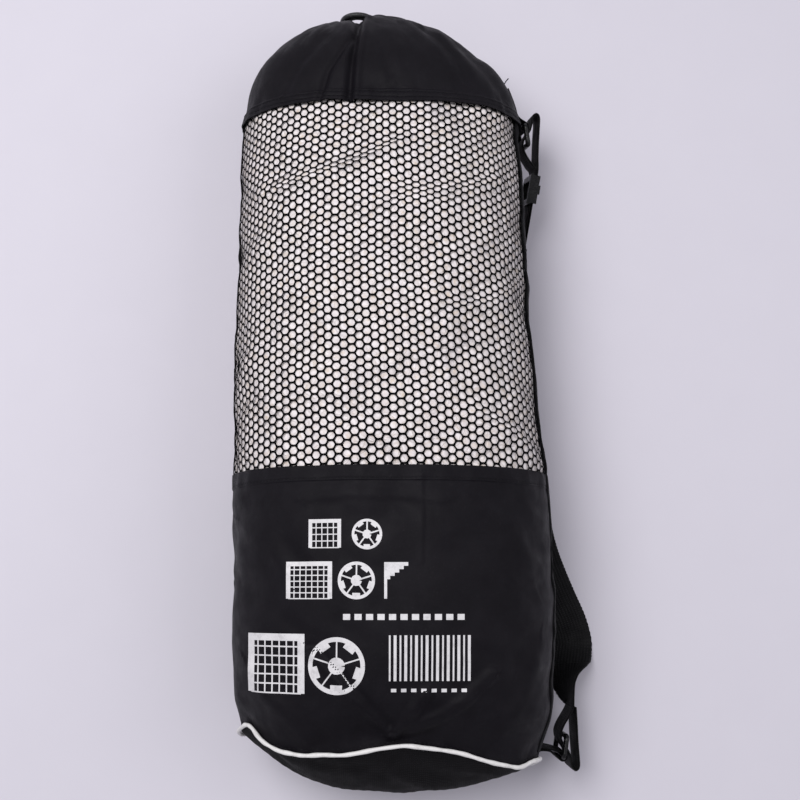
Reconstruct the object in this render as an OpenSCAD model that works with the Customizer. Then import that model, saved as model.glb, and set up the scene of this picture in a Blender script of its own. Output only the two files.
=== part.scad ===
// Drawstring carry bag with a mesh body, lying on its back, filled with a folded goal net.
// X runs across the bag, Y runs from the base to the mouth, Z is up. Millimetres.

/* [Bag body] */
// Height of the lower seam, where the mesh meets the lower panel, along the bag
lower_seam = -70; // [-110:5:-40]
// Place of the upper seam, where the mesh meets the collar, along the bag
collar_seam = 250; // [244:1:256]
// Thickness of the bag's cloth
cloth = 1.2; // [0.8:0.1:1.6]
// How far the round base panel bulges out
base_bulge = 26; // [15:1:35]
// Radius of the piping around the base
piping_r = 1.6; // [1.2:0.1:1.7]

/* [Mouth] */
// Radius of the gathered hem's middle line
mouth_r = 13.5; // [12:0.5:15]
// Radius of the bunched hem itself
hem_r = 9.5; // [8:0.5:10]
// Diameter of the drawcord
cord_d = 4.5; // [3.5:0.1:4.7]

/* [Cord lock] */
// Length of the lock's barrel
lock_length = 28; // [26:1:30]
// Radius of the lock's barrel
lock_r = 7.5; // [7:0.1:7.8]
// How far the button can be pressed
button_travel = 3; // [2:0.5:3]

/* [Strap] */
// Width of the webbing
webbing_w = 38; // [30:1:38]
// Thickness of the webbing
webbing_t = 1.6; // [1.2:0.1:1.6]
// Diameter of the strap rings' wire
ring_bar = 4.5; // [3.5:0.1:4.5]
// Distance between the middles of a strap ring's two long bars
ring_depth = 17; // [16:0.5:18]
// Length of the strap adjuster along the strap
glide_length = 28; // [24:1:32]

/* [Hidden] */
$fn = 48;
black = [0.10, 0.10, 0.12];
webbing_black = [0.06, 0.06, 0.07];
plastic_black = [0.16, 0.16, 0.17];
net_white = [0.86, 0.85, 0.85];
trim_white = [0.90, 0.89, 0.88];

// Bag body: [y, middle x, half width, height] at each station from the base to the collar seam
STATIONS = [[-310, -4, 120, 142], [-270, -1, 129, 165], [-209, 0, 132.8, 178],
    [-140, -1, 132.5, 184], [-69, -3, 131.7, 186], [10, -6.5, 129, 184],
    [88, -9.4, 126.8, 180], [170, -9.8, 125, 170], [250, -9.4, 123, 152]];
base_y = -310;
around = 40;
side_z = 85;
under_z = 8;
// The cloth rises off the floor over the last stretch before the piping
rise_y = -290;
base_rise = 5;
lean = 0.2;
// How far the base seam is shifted along the bag at each share of the half width
EDGE_SHIFT = [[-1.05, 14], [-0.99, 20], [-0.93, 22], [-0.84, 9], [-0.72, -1], [-0.55, -5], [-0.32, -5],
    [-0.1, 0], [0.1, 3], [0.25, 1], [0.5, -5], [0.7, -11], [0.85, -12], [1, -5], [1.05, -3]];
net_gap = 0.4;

function column(c) = [for (s = STATIONS) [s[0], s[c]]];
MIDDLE = column(1);
HALF_WIDTH = column(2);
HEIGHT = column(3);
function mix(a, b, t) = a + (b - a) * t;
function power(v, p) = sign(v) * pow(abs(v), p);
function base_ramp(y) = max(0, (lower_seam - y) / (lower_seam - base_y));
function rise(y) = base_rise * max(0, (rise_y - y) / (rise_y - base_y));

// A point of the bag's cross-section at angle t, drawn in by an inset; the underside is flat
function section(y, t, inset = 0) =
    let (c = lookup(y, MIDDLE), w = lookup(y, HALF_WIDTH) - inset, h = lookup(y, HEIGHT) - inset,
        x = c + w * power(cos(t), 0.87),
        low = side_z - (side_z + under_z - inset) * pow(abs(sin(t)), 0.8),
        z = sin(t) >= 0 ? side_z + (h - side_z) * pow(sin(t), 0.87) : max(rise(y) + inset, low),
        r = base_ramp(y), e = (x - c) / (w + inset))
    [x, y + r * (lean * z + r * r * lookup(e, EDGE_SHIFT)), z];

// Collar: [y, share of the half width, share of the height] from its seam to the gathered mouth
DOME = [[250, 1, 1], [275, 0.96, 0.98], [297, 0.88, 0.93], [311, 0.79, 0.88], [322, 0.70, 0.81],
    [334, 0.56, 0.70], [343, 0.43, 0.58], [348, 0.33, 0.48], [348, 0.265, 0.40], [343, 0.215, 0.345]];
mouth = [-28, 332, 70];
// How far the collar's lower half is tucked back, to clear the cord lock
tuck = 8;
function dome(k, t, inset = 0) =
    let (p = section(collar_seam, t, inset), m = lookup(collar_seam, MIDDLE),
        f = DOME[k][1], g = DOME[k][2], s = (1 - f) / (1 - 0.215),
        c = [mix(m, mouth[0], s), mix(76, mouth[2], s)],
        y = DOME[k][0] + (collar_seam - 250) * f - inset * (1 - f) - tuck * s * s * max(0, -sin(t)))
    [c[0] + f * (p[0] - m), y, c[1] + g * (p[2] - 76)];

// Base panel: a ring at share g of the base seam, bulging towards the middle
function base_ring(g, t, inset = 0) =
    let (p = section(base_y, t, inset), c = [lookup(base_y, MIDDLE), 66],
        b = mix(base_y + 12, p[1], pow(g, 3)))
    [mix(c[0], p[0], g), b + inset - base_bulge * (1 - g * g), mix(c[1], p[2], g)];

function loop_angles(n) = [for (i = [0:n - 1]) 360 * i / n];
function ring_faces(n, a, b) = [for (i = [0:n - 1]) each [[a + i, a + (i + 1) % n, b + i],
    [a + (i + 1) % n, b + (i + 1) % n, b + i]]];

function flipped(faces) = [for (f = faces) [f[2], f[1], f[0]]];

// A closed skin between matching outer and inner rings, open at both ends
module shell(outer, inner) {
    n = len(outer[0]);
    m = len(outer);
    points = [each for (r = outer) r, each for (r = inner) r];
    faces = [
        for (j = [0:m - 2]) each ring_faces(n, j * n, (j + 1) * n),
        for (j = [0:m - 2]) each flipped(ring_faces(n, (m + j) * n, (m + j + 1) * n)),
        each ring_faces(n, m * n, 0),
        each ring_faces(n, (m - 1) * n, (2 * m - 1) * n)];
    polyhedron(points, faces);
}

// A solid through rings, closed by a point at each end
module closed_body(rings, first, last) {
    n = len(rings[0]);
    m = len(rings);
    points = [each for (r = rings) r, first, last];
    faces = [
        for (j = [0:m - 2]) each ring_faces(n, j * n, (j + 1) * n),
        for (i = [0:n - 1]) [(i + 1) % n, i, m * n],
        for (i = [0:n - 1]) [(m - 1) * n + i, (m - 1) * n + (i + 1) % n, m * n + 1]];
    polyhedron(points, faces);
}

function steps(a, b, n) = [for (i = [0:n]) mix(a, b, i / n)];
function section_rings(ys, inset) = [for (y = ys) [for (t = loop_angles(around)) section(y, t, inset)]];
function dome_rings(ks, inset) = [for (k = ks) [for (t = loop_angles(around)) dome(k, t, inset)]];
function base_rings(gs, inset) = [for (g = gs) [for (t = loop_angles(around)) base_ring(g, t, inset)]];

module panel(ys) shell(section_rings(ys, 0), section_rings(ys, cloth));

MESH_YS = steps(lower_seam, collar_seam, 8);
// The lower panel is sewn against the base panel's rim
LOWER_YS = steps(base_y + cloth + 0.2, lower_seam, 6);
module mesh_panel() color(black) panel(MESH_YS);
module lower_panel() color(black) difference() {
    panel(LOWER_YS);
    tab_slit();
}

module top_collar() color(black) shell(dome_rings([0:9], 0), dome_rings([0:9], cloth));

BASE_SHARES = [0.25, 0.55, 0.8, 0.94, 1];
module base_panel() {
    n = around;
    m = len(BASE_SHARES);
    outer = base_rings(BASE_SHARES, 0);
    inner = base_rings(BASE_SHARES, cloth);
    tip = base_ring(0, 0);
    points = [each for (r = outer) r, each for (r = inner) r, tip, tip + [0, cloth, 0]];
    faces = [
        for (j = [0:m - 2]) each ring_faces(n, j * n, (j + 1) * n),
        for (j = [0:m - 2]) each flipped(ring_faces(n, (m + j) * n, (m + j + 1) * n)),
        each ring_faces(n, (m - 1) * n, (2 * m - 1) * n),
        for (i = [0:n - 1]) [(i + 1) % n, i, 2 * m * n],
        for (i = [0:n - 1]) [m * n + i, m * n + (i + 1) % n, 2 * m * n + 1]];
    color(black) polyhedron(points, faces);
}

// The folded net fills the bag and stays a hair inside its cloth
net_inset = cloth + net_gap;
NET_YS = concat([for (i = [1:len(LOWER_YS) - 1]) LOWER_YS[i]], [for (i = [1:len(MESH_YS) - 1]) MESH_YS[i]]);
module folded_net() color(net_white) difference() {
    closed_body(
        concat([for (r = base_rings(BASE_SHARES, net_inset)) [for (p = r) p + [0, 1.2, 0]]],
            section_rings(NET_YS, net_inset),
            dome_rings([1:5], net_inset),
            [[for (t = loop_angles(around)) dome(6, t, net_inset) - [0, 24, 0]]]),
        base_ring(0, 0) + [0, net_inset + 1.2, 0], [mouth[0], mouth[1] - 14, mouth[2]]);
    tab_slit();
}

// A round tube through points, swept with level cross-sections
function unit(v) = v / norm(v);
function heading(path, i) = unit(path[min(i + 1, len(path) - 1)] - path[max(i - 1, 0)]);
function tube_ring(c, d, r, n, across) =
    let (a = unit(cross(d, across)), b = cross(d, a))
    [for (t = loop_angles(n)) c + r * (cos(t) * a - sin(t) * b)];
module tube(path, r, n, across) {
    m = len(path);
    rings = [for (i = [0:m - 1]) tube_ring(path[i], heading(path, i), r, n, across)];
    closed_body(rings, path[0], path[m - 1]);
}

// Piping: a closed loop that stands proud of the base seam
piping_y = base_y + cloth;
piping_gap = 0.9;
module base_piping() {
    n = 8;
    line = [for (t = loop_angles(2 * around)) section(piping_y, t, -piping_r - piping_gap)];
    m = len(line);
    points = [for (i = [0:m - 1]) each tube_ring(line[i],
        unit(line[(i + 1) % m] - line[(i + m - 1) % m]), piping_r, n, [0, 1, 0])];
    color(trim_white) polyhedron(points, [for (j = [0:m - 1]) each ring_faces(n, j * n, ((j + 1) % m) * n)]);
}

// Binding: a narrow tape over the seam down each side
module binding(t0, t1) {
    ys = concat([LOWER_YS[0] + 6], [for (i = [1:len(LOWER_YS) - 1]) LOWER_YS[i]],
        [for (i = [1:len(MESH_YS) - 2]) MESH_YS[i]], [collar_seam - 2]);
    ts = steps(t0, t1, 2);
    rings = [for (y = ys) concat([for (t = ts) section(y, t, -0.3)],
        [for (i = [len(ts) - 1:-1:0]) section(y, ts[i], -1.6)])];
    last = len(ys) - 1;
    closed_body(rings, (rings[0][1] + rings[0][4]) / 2, (rings[last][1] + rings[last][4]) / 2);
}
module side_seam_binding() color(black) {
    binding(13.5, 4.5);
    binding(193.5, 184.5);
}

// Gathered hem: a bunched ring with a hollow channel for the cord
channel_r = 2.9;
module hem_ring(r) rotate([90, 0, 0]) rotate_extrude() translate([mouth_r, 0]) circle(r);
exit_x = [-44, -39.3];
exit_z = 66;
eyelet_bore = 5.1;
eyelet_r = 7.2;
eyelet_y = 340.2;
eyelet_t = 1.6;
module exit_bore(r) translate([(exit_x[0] + exit_x[1]) / 2, mouth[1], exit_z]) rotate([-90, 0, 0])
    cylinder(h = 20, r = r);
module drawcord_channel() color(black) difference() {
    translate(mouth) hem_ring(hem_r);
    translate(mouth) hem_ring(channel_r);
    exit_bore(eyelet_bore);
    translate([0, eyelet_y - mouth[1] - 0.05, 0]) exit_bore(eyelet_r + 0.1);
}
module cord_eyelet() color(plastic_black) translate([(exit_x[0] + exit_x[1]) / 2, eyelet_y, exit_z])
    rotate([-90, 0, 0]) difference() {
        cylinder(h = eyelet_t, r = eyelet_r);
        translate([0, 0, -1]) cylinder(h = eyelet_t + 2, r = eyelet_bore);
    }
module channel_cord() color(webbing_black) translate(mouth) rotate([90, 0, 0]) rotate([0, 0, 225])
    rotate_extrude(angle = 290) translate([mouth_r, 0]) circle(cord_d / 2);

// Drawcord: two strands leave the eyelet, arch over, drop through the lock and lie down in a coil
cord_y = 354;
arch = [-30, 80];
coil = [6, 340];
coil_turn = 300;
floor_cord = 2.4;
function strand(x0, r) = concat(
    [[x0, 336, exit_z], [x0, 343, exit_z], [x0, 349, 68], [x0, 353, 73]],
    [for (t = [180:-30:0]) [arch[0] + r * cos(t), cord_y, arch[1] + r * sin(t)]],
    [for (z = [68, 56, 44, 32, 20]) [arch[0] + r, cord_y, z]],
    [[arch[0] + r, 352.5, 12], [arch[0] + r, 348, 5.5], [arch[0] + r, 341, floor_cord]]);
module cord_strand_a() color(webbing_black) tube(strand(exit_x[0], 14), cord_d / 2, 8, [1, 1, 0]);
module cord_strand_b() color(webbing_black) tube(strand(exit_x[1], 9.3), cord_d / 2, 8, [1, 1, 0]);
coil_inner = 22 - cord_d / 2;
coil_outer = 26.7 + cord_d / 2;
module cord_coil() color(webbing_black) translate([coil[0], coil[1], floor_cord]) rotate([0, 0, 182])
    rotate_extrude(angle = coil_turn - 2) {
        translate([coil_inner + cord_d / 2, -cord_d / 2])
            square([coil_outer - coil_inner - cord_d, cord_d]);
        translate([coil_inner + cord_d / 2, 0]) circle(cord_d / 2);
        translate([coil_outer - cord_d / 2, 0]) circle(cord_d / 2);
    }
knot_r = 5.2;
knot_angle = 180 + coil_turn + 13;
coil_middle = (coil_inner + coil_outer) / 2;
module cord_knot() color(webbing_black)
    translate([coil[0] + coil_middle * cos(knot_angle), coil[1] + coil_middle * sin(knot_angle), knot_r])
        sphere(knot_r);

// Cord lock: a barrel across the two strands, with a sprung button that grips them
lock = [arch[0] + (14 + 9.3) / 2, cord_y, 52];
lock_bore = 5.7;
button_r = 5.65;
lock_end = 2.4;
grip_x = (14 - 9.3) / 2;
strand_hole = cord_d / 2 + 0.35;
module across_hole(x0, x1, r, h) {
    translate([x0, 0, -h]) cylinder(h = 2 * h, r = r);
    translate([x1, 0, -h]) cylinder(h = 2 * h, r = r);
    translate([x0, -r, -h]) cube([x1 - x0, 2 * r, 2 * h]);
}
module cord_lock_barrel() color(plastic_black) translate(lock) difference() {
    union() {
        translate([-lock_length / 2, 0, 0]) rotate([0, 90, 0]) cylinder(h = lock_length, r = lock_r);
        translate([-lock_length / 2, 0, 0]) rotate([0, 90, 0]) cylinder(h = 2, r = lock_r + 0.3);
    }
    translate([-lock_length / 2 + lock_end, 0, 0]) rotate([0, 90, 0]) cylinder(h = lock_length, r = lock_bore);
    across_hole(-grip_x, grip_x, strand_hole, 12);
}
button_x0 = -7.5;
button_x1 = lock_length / 2 + button_travel + 1.5;
module cord_lock_button() color(plastic_black) translate(lock) difference() {
    translate([button_x0, 0, 0]) rotate([0, 90, 0]) cylinder(h = button_x1 - button_x0, r = button_r);
    across_hole(-grip_x, grip_x + button_travel, strand_hole, 12);
}
spring_x0 = -lock_length / 2 + lock_end + 0.1;
module cord_lock_spring() color("silver") translate([lock[0] + spring_x0, lock[1], lock[2]]) rotate([0, 90, 0])
    difference() {
        cylinder(h = button_x0 - spring_x0 - 0.1, r = 3.6);
        translate([0, 0, -1]) cylinder(h = 10, r = 2.6);
    }

// Strap hardware: each end has its own frame, with its origin on the tab's ring bar
upper_at = [121, 258, 62];
upper_tilt = 15;
lower_at = [143, -298, 37];
module upper_frame() translate(upper_at) rotate([upper_tilt, 0, 0]) children();
module lower_frame() translate(lower_at) mirror([0, 1, 0]) children();
ring_end = webbing_w / 2 + 0.75 + ring_bar / 2;
ring_corner = 3;
ring_angle = 10;
module bar_z(y) translate([0, y, -ring_end + ring_corner])
    cylinder(h = 2 * (ring_end - ring_corner), r = ring_bar / 2);
module bar_y(z) translate([0, -ring_corner, z]) rotate([90, 0, 0])
    cylinder(h = ring_depth - 2 * ring_corner, r = ring_bar / 2);
module corner(y, z, turn) translate([0, y, z]) rotate([0, 90, 0]) rotate([0, 0, turn])
    rotate_extrude(angle = 90) translate([ring_corner, 0]) circle(ring_bar / 2);
module strap_ring() rotate([0, 0, ring_angle]) {
    low = -ring_end + ring_corner;
    bar_z(0);
    bar_z(-ring_depth);
    bar_y(ring_end);
    bar_y(-ring_end);
    corner(-ring_corner, low, 0);
    corner(-ring_corner, -low, 90);
    corner(-ring_depth + ring_corner, -low, 180);
    corner(-ring_depth + ring_corner, low, 270);
}
module upper_ring() color(plastic_black) upper_frame() strap_ring();
module lower_ring() color(plastic_black) lower_frame() strap_ring();

// A flat ribbon along points in the XY plane, as wide as the webbing
function side_of(path, i) = let (d = heading(path, i)) [-d[1], d[0]];
function outline(path, t) = concat([for (i = [0:len(path) - 1]) path[i] + t / 2 * side_of(path, i)],
    [for (i = [len(path) - 1:-1:0]) path[i] - t / 2 * side_of(path, i)]);
module ribbon(path, t) translate([0, 0, -webbing_w / 2]) linear_extrude(webbing_w) polygon(outline(path, t));

// Tab: doubled webbing around the ring's bar, sewn to the bag
eye = ring_bar / 2 + 0.35;
module tab(path) {
    difference() {
        union() {
            translate([0, 0, -webbing_w / 2]) cylinder(h = webbing_w, r = eye + webbing_t);
            ribbon(path, 2 * webbing_t);
        }
        translate([0, 0, -webbing_w / 2 - 1]) cylinder(h = webbing_w + 2, r = eye);
    }
}
module upper_tab() color(webbing_black) upper_frame()
    tab([[-2, 1], [-6.5, 8], [-9.6, 17], [-12.6, 25], [-16, 33]]);
LOWER_TAB = [[-1.5, -1.5], [-10, -5], [-20, -6], [-30, -6], [-36.5, -7]];
module lower_tab() color(webbing_black) lower_frame() tab(LOWER_TAB);
// The slit in the side seam that the lower tab is sewn through
slit_gap = 0.15;
module tab_slit() lower_frame() translate([0, 0, -webbing_w / 2 - slit_gap])
    linear_extrude(webbing_w + 2 * slit_gap) offset(delta = slit_gap) polygon(outline(LOWER_TAB, 2 * webbing_t));

// The strap's loose loop through a ring: up the inner leg, over, and down the outer leg
glide_at = [9, -57];
glide_tilt = 9;
along = [sin(glide_tilt), cos(glide_tilt)];
outward = [cos(glide_tilt), -sin(glide_tilt)];
layer = webbing_t / 2 + 0.2;
function on_leg(s, side) = glide_at + s * along + side * layer * outward;
BIGHT = [[6.5, -33], [2, -26], [-0.7, -20], [-1.1, -16], [-0.2, -12], [2.4, -8], [5, -4], [6.6, 1],
    [7.6, 7], [9.2, 10.6], [11.4, 11.2], [12.8, 8], [12.8, 0], [12.6, -14], [12.6, -28]];
leg_top = 17;
leg_end = -72;
tail_end = -54;
hem_end = -66;
module strap_upper_loop() color(webbing_black) upper_frame()
    ribbon(concat([on_leg(leg_end, -1), on_leg(leg_top, -1)], BIGHT,
        [on_leg(leg_top, 1), on_leg(tail_end, 1)]), webbing_t);
module strap_tail_hem() color(webbing_black) upper_frame()
    ribbon([for (s = [tail_end - 0.05, hem_end]) on_leg(s, 1) + webbing_t / 2 * outward], 2 * webbing_t);
module strap_lower_loop() color(webbing_black) lower_frame()
    ribbon(concat([[10.4, -40]], BIGHT, [[12.2, -40]]), webbing_t);

// Strap adjuster: two rails behind the webbing and a raised bar in front of it
rail_gap = 2.1;
rail_t = 2.9;
glide_w = webbing_w + 8;
cheek_z = webbing_w / 2 + 0.4;
module rod(s, t, w) {
    translate([t - rail_t / 2, s - w / 2, -glide_w / 2]) cube([rail_t, w, glide_w]);
    translate([t, s - w / 2, -glide_w / 2]) cylinder(h = glide_w, r = rail_t / 2);
    translate([t, s + w / 2, -glide_w / 2]) cylinder(h = glide_w, r = rail_t / 2);
}
module cheek(z) {
    r = rail_gap + rail_t;
    long = glide_length - rail_t;
    translate([-r, -long / 2, z]) cube([2 * r - rail_t / 2, long, glide_w / 2 - cheek_z]);
    translate([0, -4, z]) cube([r, 8, glide_w / 2 - cheek_z]);
}
module strap_adjuster() color(plastic_black) upper_frame() translate([glide_at[0], glide_at[1], 0])
    rotate([0, 0, -glide_tilt]) {
        middle = rail_gap + rail_t / 2;
        reach = glide_length / 2 - rail_t;
        rod(reach, -middle, rail_t);
        rod(-reach, -middle, rail_t);
        rod(0, middle, rail_t);
        cheek(cheek_z);
        cheek(-glide_w / 2);
    }

// Strap: a flat band through [x, y, z, twist], upright at twist 0 and lying flat at 90
UPPER_RUN = [[117.6, 133.6, 28.7, 0], [116.9, 128.4, 27.3, 0], [117.4, 100, 25, 3],
    [118.5, 60, 24, 10], [119.5, 20, 21, 25], [121.5, -20, 16, 45], [124, -50, 9.8, 68],
    [126, -69.5, 5.5, 80]];
MID_RUN = [[126, -70.2, 5.5, 80], [127.5, -90, 3, 86], [130.5, -110, 1.8, 90], [135.5, -130, 1.4, 90],
    [142.5, -150, 1.3, 90], [150.5, -170, 1.3, 90], [158, -188, 1.3, 90], [162, -204, 1.6, 90],
    [161, -214, 4.8, 80], [159.6, -219.6, 8.4, 69]];
LOWER_RUN = [[157.7, -227.1, 13.8, 57], [156.6, -232, 19.2, 42], [155.2, -238.5, 26.5, 24],
    [154.3, -245, 32.8, 8], [153.8, -251, 36.6, 0], [153.5, -256.7, 37, 0]];
function place(p) = [p[0], p[1], p[2]];
function band_ring(run, i) =
    let (d = unit(place(run[min(i + 1, len(run) - 1)]) - place(run[max(i - 1, 0)])),
        side = unit(cross([0, 0, 1], d)), up = unit([0, 0, 1] - d[2] * d),
        w = cos(run[i][3]) * up + sin(run[i][3]) * side, n = cross(d, w),
        c = place(run[i]), a = webbing_w / 2 * w, b = webbing_t / 2 * n)
    [c + a - b, c - a - b, c - a + b, c + a + b];
// The wide faces at the front and the back are split along the same diagonal, to keep the thickness
function band_faces(a, b) = [[a, a + 1, b], [a + 1, b + 1, b], [a + 1, a + 2, b + 1],
    [a + 2, b + 2, b + 1], [a + 2, a + 3, b + 3], [a + 2, b + 3, b + 2], [a + 3, a, b + 3], [a, b, b + 3]];
module band(run) {
    m = len(run);
    last = 4 * (m - 1);
    polyhedron([for (i = [0:m - 1]) each band_ring(run, i)],
        concat([[3, 2, 1, 0]], [for (i = [0:m - 2]) each band_faces(4 * i, 4 * i + 4)],
            [[last, last + 1, last + 2, last + 3]]));
}
module strap_upper_run() color(webbing_black) band(UPPER_RUN);
module shoulder_strap() color(webbing_black) band(MID_RUN);
module strap_lower_run() color(webbing_black) band(LOWER_RUN);

folded_net();
mesh_panel();
top_collar();
lower_panel();
base_panel();
base_piping();
side_seam_binding();
drawcord_channel();
cord_eyelet();
channel_cord();
cord_strand_a();
cord_strand_b();
cord_coil();
cord_knot();
cord_lock_barrel();
cord_lock_button();
cord_lock_spring();
upper_tab();
upper_ring();
strap_upper_loop();
strap_tail_hem();
strap_adjuster();
strap_upper_run();
shoulder_strap();
strap_lower_run();
strap_lower_loop();
lower_ring();
lower_tab();
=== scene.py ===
"""Drawstring carry bag with a hexagonal mesh body, lying on its back, filled with a folded net.

Lengths in the tables and functions are millimetres in the frame of the CAD model: X across the
bag, Y from the base to the mouth, Z up. Meshes are scaled to metres when they are made.
"""

import bpy
import numpy as np
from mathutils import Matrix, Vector
from mathutils.bvhtree import BVHTree


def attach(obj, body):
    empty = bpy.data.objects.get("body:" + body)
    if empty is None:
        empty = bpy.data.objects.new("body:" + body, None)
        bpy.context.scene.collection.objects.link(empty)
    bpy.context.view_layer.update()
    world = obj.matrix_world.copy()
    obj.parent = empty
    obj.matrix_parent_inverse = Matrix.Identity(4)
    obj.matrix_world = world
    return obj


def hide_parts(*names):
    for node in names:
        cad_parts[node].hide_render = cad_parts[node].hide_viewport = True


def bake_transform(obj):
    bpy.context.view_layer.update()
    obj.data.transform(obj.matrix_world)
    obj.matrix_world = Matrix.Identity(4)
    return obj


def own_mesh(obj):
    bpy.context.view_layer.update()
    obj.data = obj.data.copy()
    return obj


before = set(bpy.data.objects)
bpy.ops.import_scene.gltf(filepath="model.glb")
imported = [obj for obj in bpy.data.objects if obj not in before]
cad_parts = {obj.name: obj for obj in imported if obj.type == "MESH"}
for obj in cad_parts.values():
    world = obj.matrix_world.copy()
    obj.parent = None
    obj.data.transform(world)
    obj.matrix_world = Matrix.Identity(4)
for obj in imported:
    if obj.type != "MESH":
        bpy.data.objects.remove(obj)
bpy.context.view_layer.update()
MM = 0.001
TURN = 2 * np.pi

# ---------------------------------------------------------------- camera


def make_camera():
    """The view from above, tilted ten degrees towards the base."""
    data = bpy.data.cameras.new("camera")
    data.lens = 50
    data.sensor_width = 36
    data.shift_x = 0.04625
    camera = bpy.data.objects.new("camera", data)
    bpy.context.collection.objects.link(camera)
    camera.location = (-0.025, -0.165, 1.0256)
    camera.rotation_euler = (np.radians(10), 0, 0)
    bpy.context.scene.camera = camera


make_camera()

# ---------------------------------------------------------------- general helpers


def arr(*rows):
    """An array of floats."""
    return np.array(rows, float)


def unit(v):
    """Vectors made one long."""
    return v / np.maximum(np.linalg.norm(v, axis=-1, keepdims=True), 1e-9)


def smooth_step(x):
    """Nought below 0, one above 1, and a smooth rise between."""
    x = np.clip(x, 0, 1)
    return x * x * (3 - 2 * x)


def above(p, z, reach):
    """Nought at height z and below, one from that height plus the reach."""
    return smooth_step((p[..., 2] - z) / reach)


def distances(path):
    """How far along a path each of its points is."""
    return np.r_[0, np.cumsum(np.linalg.norm(np.diff(path, axis=0), axis=1))]


def noise(p, size, seed, count=9):
    """Smooth noise, about -1 to 1, with lumps of about that size."""
    r = np.random.default_rng(seed)
    way = unit(r.normal(size=(count, 3))) * r.uniform(0.5, 1.5, (count, 1)) * TURN / (2 * size)
    phase = r.uniform(0, TURN, count)
    q = p + 0.45 * size * np.sin(p[..., [1, 2, 0]] * TURN / (3.1 * size) + seed)
    return np.sin(q @ way.T + phase).sum(-1) * np.sqrt(2 / count) / 1.6


def spline(points, u):
    """Catmull-Rom curve through points, at u from 0 to their number less one."""
    p = np.asarray(points, float)
    last = len(p) - 1
    i = np.clip(np.floor(u).astype(int), 0, last - 1)
    f = (u - i)[..., None] if p.ndim > 1 else u - i
    a, b, c, d = p[np.maximum(i - 1, 0)], p[i], p[i + 1], p[np.minimum(i + 2, last)]
    return 0.5 * (2 * b + (c - a) * f + (2 * a - 5 * b + 4 * c - d) * f ** 2
                  + (3 * b - a - 3 * c + d) * f ** 3)


def resample(points, step):
    """The smooth curve through points, cut at even steps."""
    dense = spline(points, np.linspace(0, len(points) - 1, 60 * len(points)))
    run = distances(dense[:, :3])
    s = np.linspace(0, run[-1], max(2, int(round(run[-1] / step)) + 1))
    return np.stack([np.interp(s, run, dense[:, k]) for k in range(dense.shape[1])], 1)


def flat_path(points):
    """A smooth path through points of the XY plane."""
    return resample(np.c_[np.asarray(points, float), np.zeros(len(points))], 1.2)


def link(name, verts, faces, body, material, uv=None, wrap=0.0, hides=()):
    """A mesh piece from points in millimetres, riding on its body; its UVs start again at wrap."""
    mesh = bpy.data.meshes.new(name)
    mesh.from_pydata((np.asarray(verts) * MM).tolist(), [], [list(f) for f in faces])
    mesh.polygons.foreach_set("use_smooth", [True] * len(mesh.polygons))
    if uv is not None:
        corner = np.empty(len(mesh.loops), int)
        mesh.loops.foreach_get("vertex_index", corner)
        flat = np.asarray(uv)[corner]
        if wrap:
            start = np.empty(len(mesh.polygons), int)
            total = np.empty(len(mesh.polygons), int)
            mesh.polygons.foreach_get("loop_start", start)
            mesh.polygons.foreach_get("loop_total", total)
            top = np.maximum.reduceat(flat[:, 0], start)
            crossing = np.repeat(top - np.minimum.reduceat(flat[:, 0], start) > wrap / 2, total)
            flat[crossing & (flat[:, 0] < wrap / 2), 0] += wrap
        mesh.uv_layers.new(name="metres").data.foreach_set("uv", (flat * MM).ravel())
    mesh.materials.append(material)
    mesh.validate()
    obj = bpy.data.objects.new(name, mesh)
    bpy.context.collection.objects.link(obj)
    if hides:
        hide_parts(*hides)
    if body:
        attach(obj, body)
    return obj


def grid_faces(rows, cols, closed):
    """The quads of a grid of points; closed joins its last column to its first."""
    r, c = np.meshgrid(np.arange(rows - 1), np.arange(cols if closed else cols - 1), indexing="ij")
    d = (c + 1) % cols
    quad = [r * cols + c, r * cols + d, (r + 1) * cols + d, (r + 1) * cols + c]
    return np.stack([q.ravel() for q in quad], 1)


def grid_normals(p):
    """Outward normals of a grid whose columns go round, anticlockwise, and rows go along +Y."""
    across = np.roll(p, -1, 1) - np.roll(p, 1, 1)
    return unit(np.cross(np.gradient(p, axis=0), across))


def shell_faces(rows, cols, closed):
    """Faces of a closed solid between two grids of points, the outer grid first."""
    size = rows * cols
    outer = grid_faces(rows, cols, closed)[:, ::-1]
    faces = [outer, outer[:, ::-1] + size]
    edge = np.arange(cols if closed else cols - 1)
    after = (edge + 1) % cols
    borders = [(row * cols + edge, row * cols + after, row > 0) for row in (0, rows - 1)]
    if not closed:
        down = np.arange(rows - 1) * cols
        borders += [(down + col, down + cols + col, col == 0) for col in (0, cols - 1)]
    for a, b, flip in borders:
        quad = np.stack([a, b, b + size, a + size], 1)
        faces.append(quad[:, ::-1] if flip else quad)
    return np.concatenate(faces)


def cloth_tube(name, p, uv, wrap, hides):
    """Nylon cloth round the bag: a closed solid from a grid of outer points, thickened inwards."""
    inner = p - grid_normals(p) * CLOTH
    verts = np.concatenate([p.reshape(-1, 3), inner.reshape(-1, 3)])
    flat = uv.reshape(-1, 2)
    return link(name, verts, shell_faces(*p.shape[:2], True), "bag", NYLON,
                np.concatenate([flat, flat]), wrap, hides)


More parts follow.
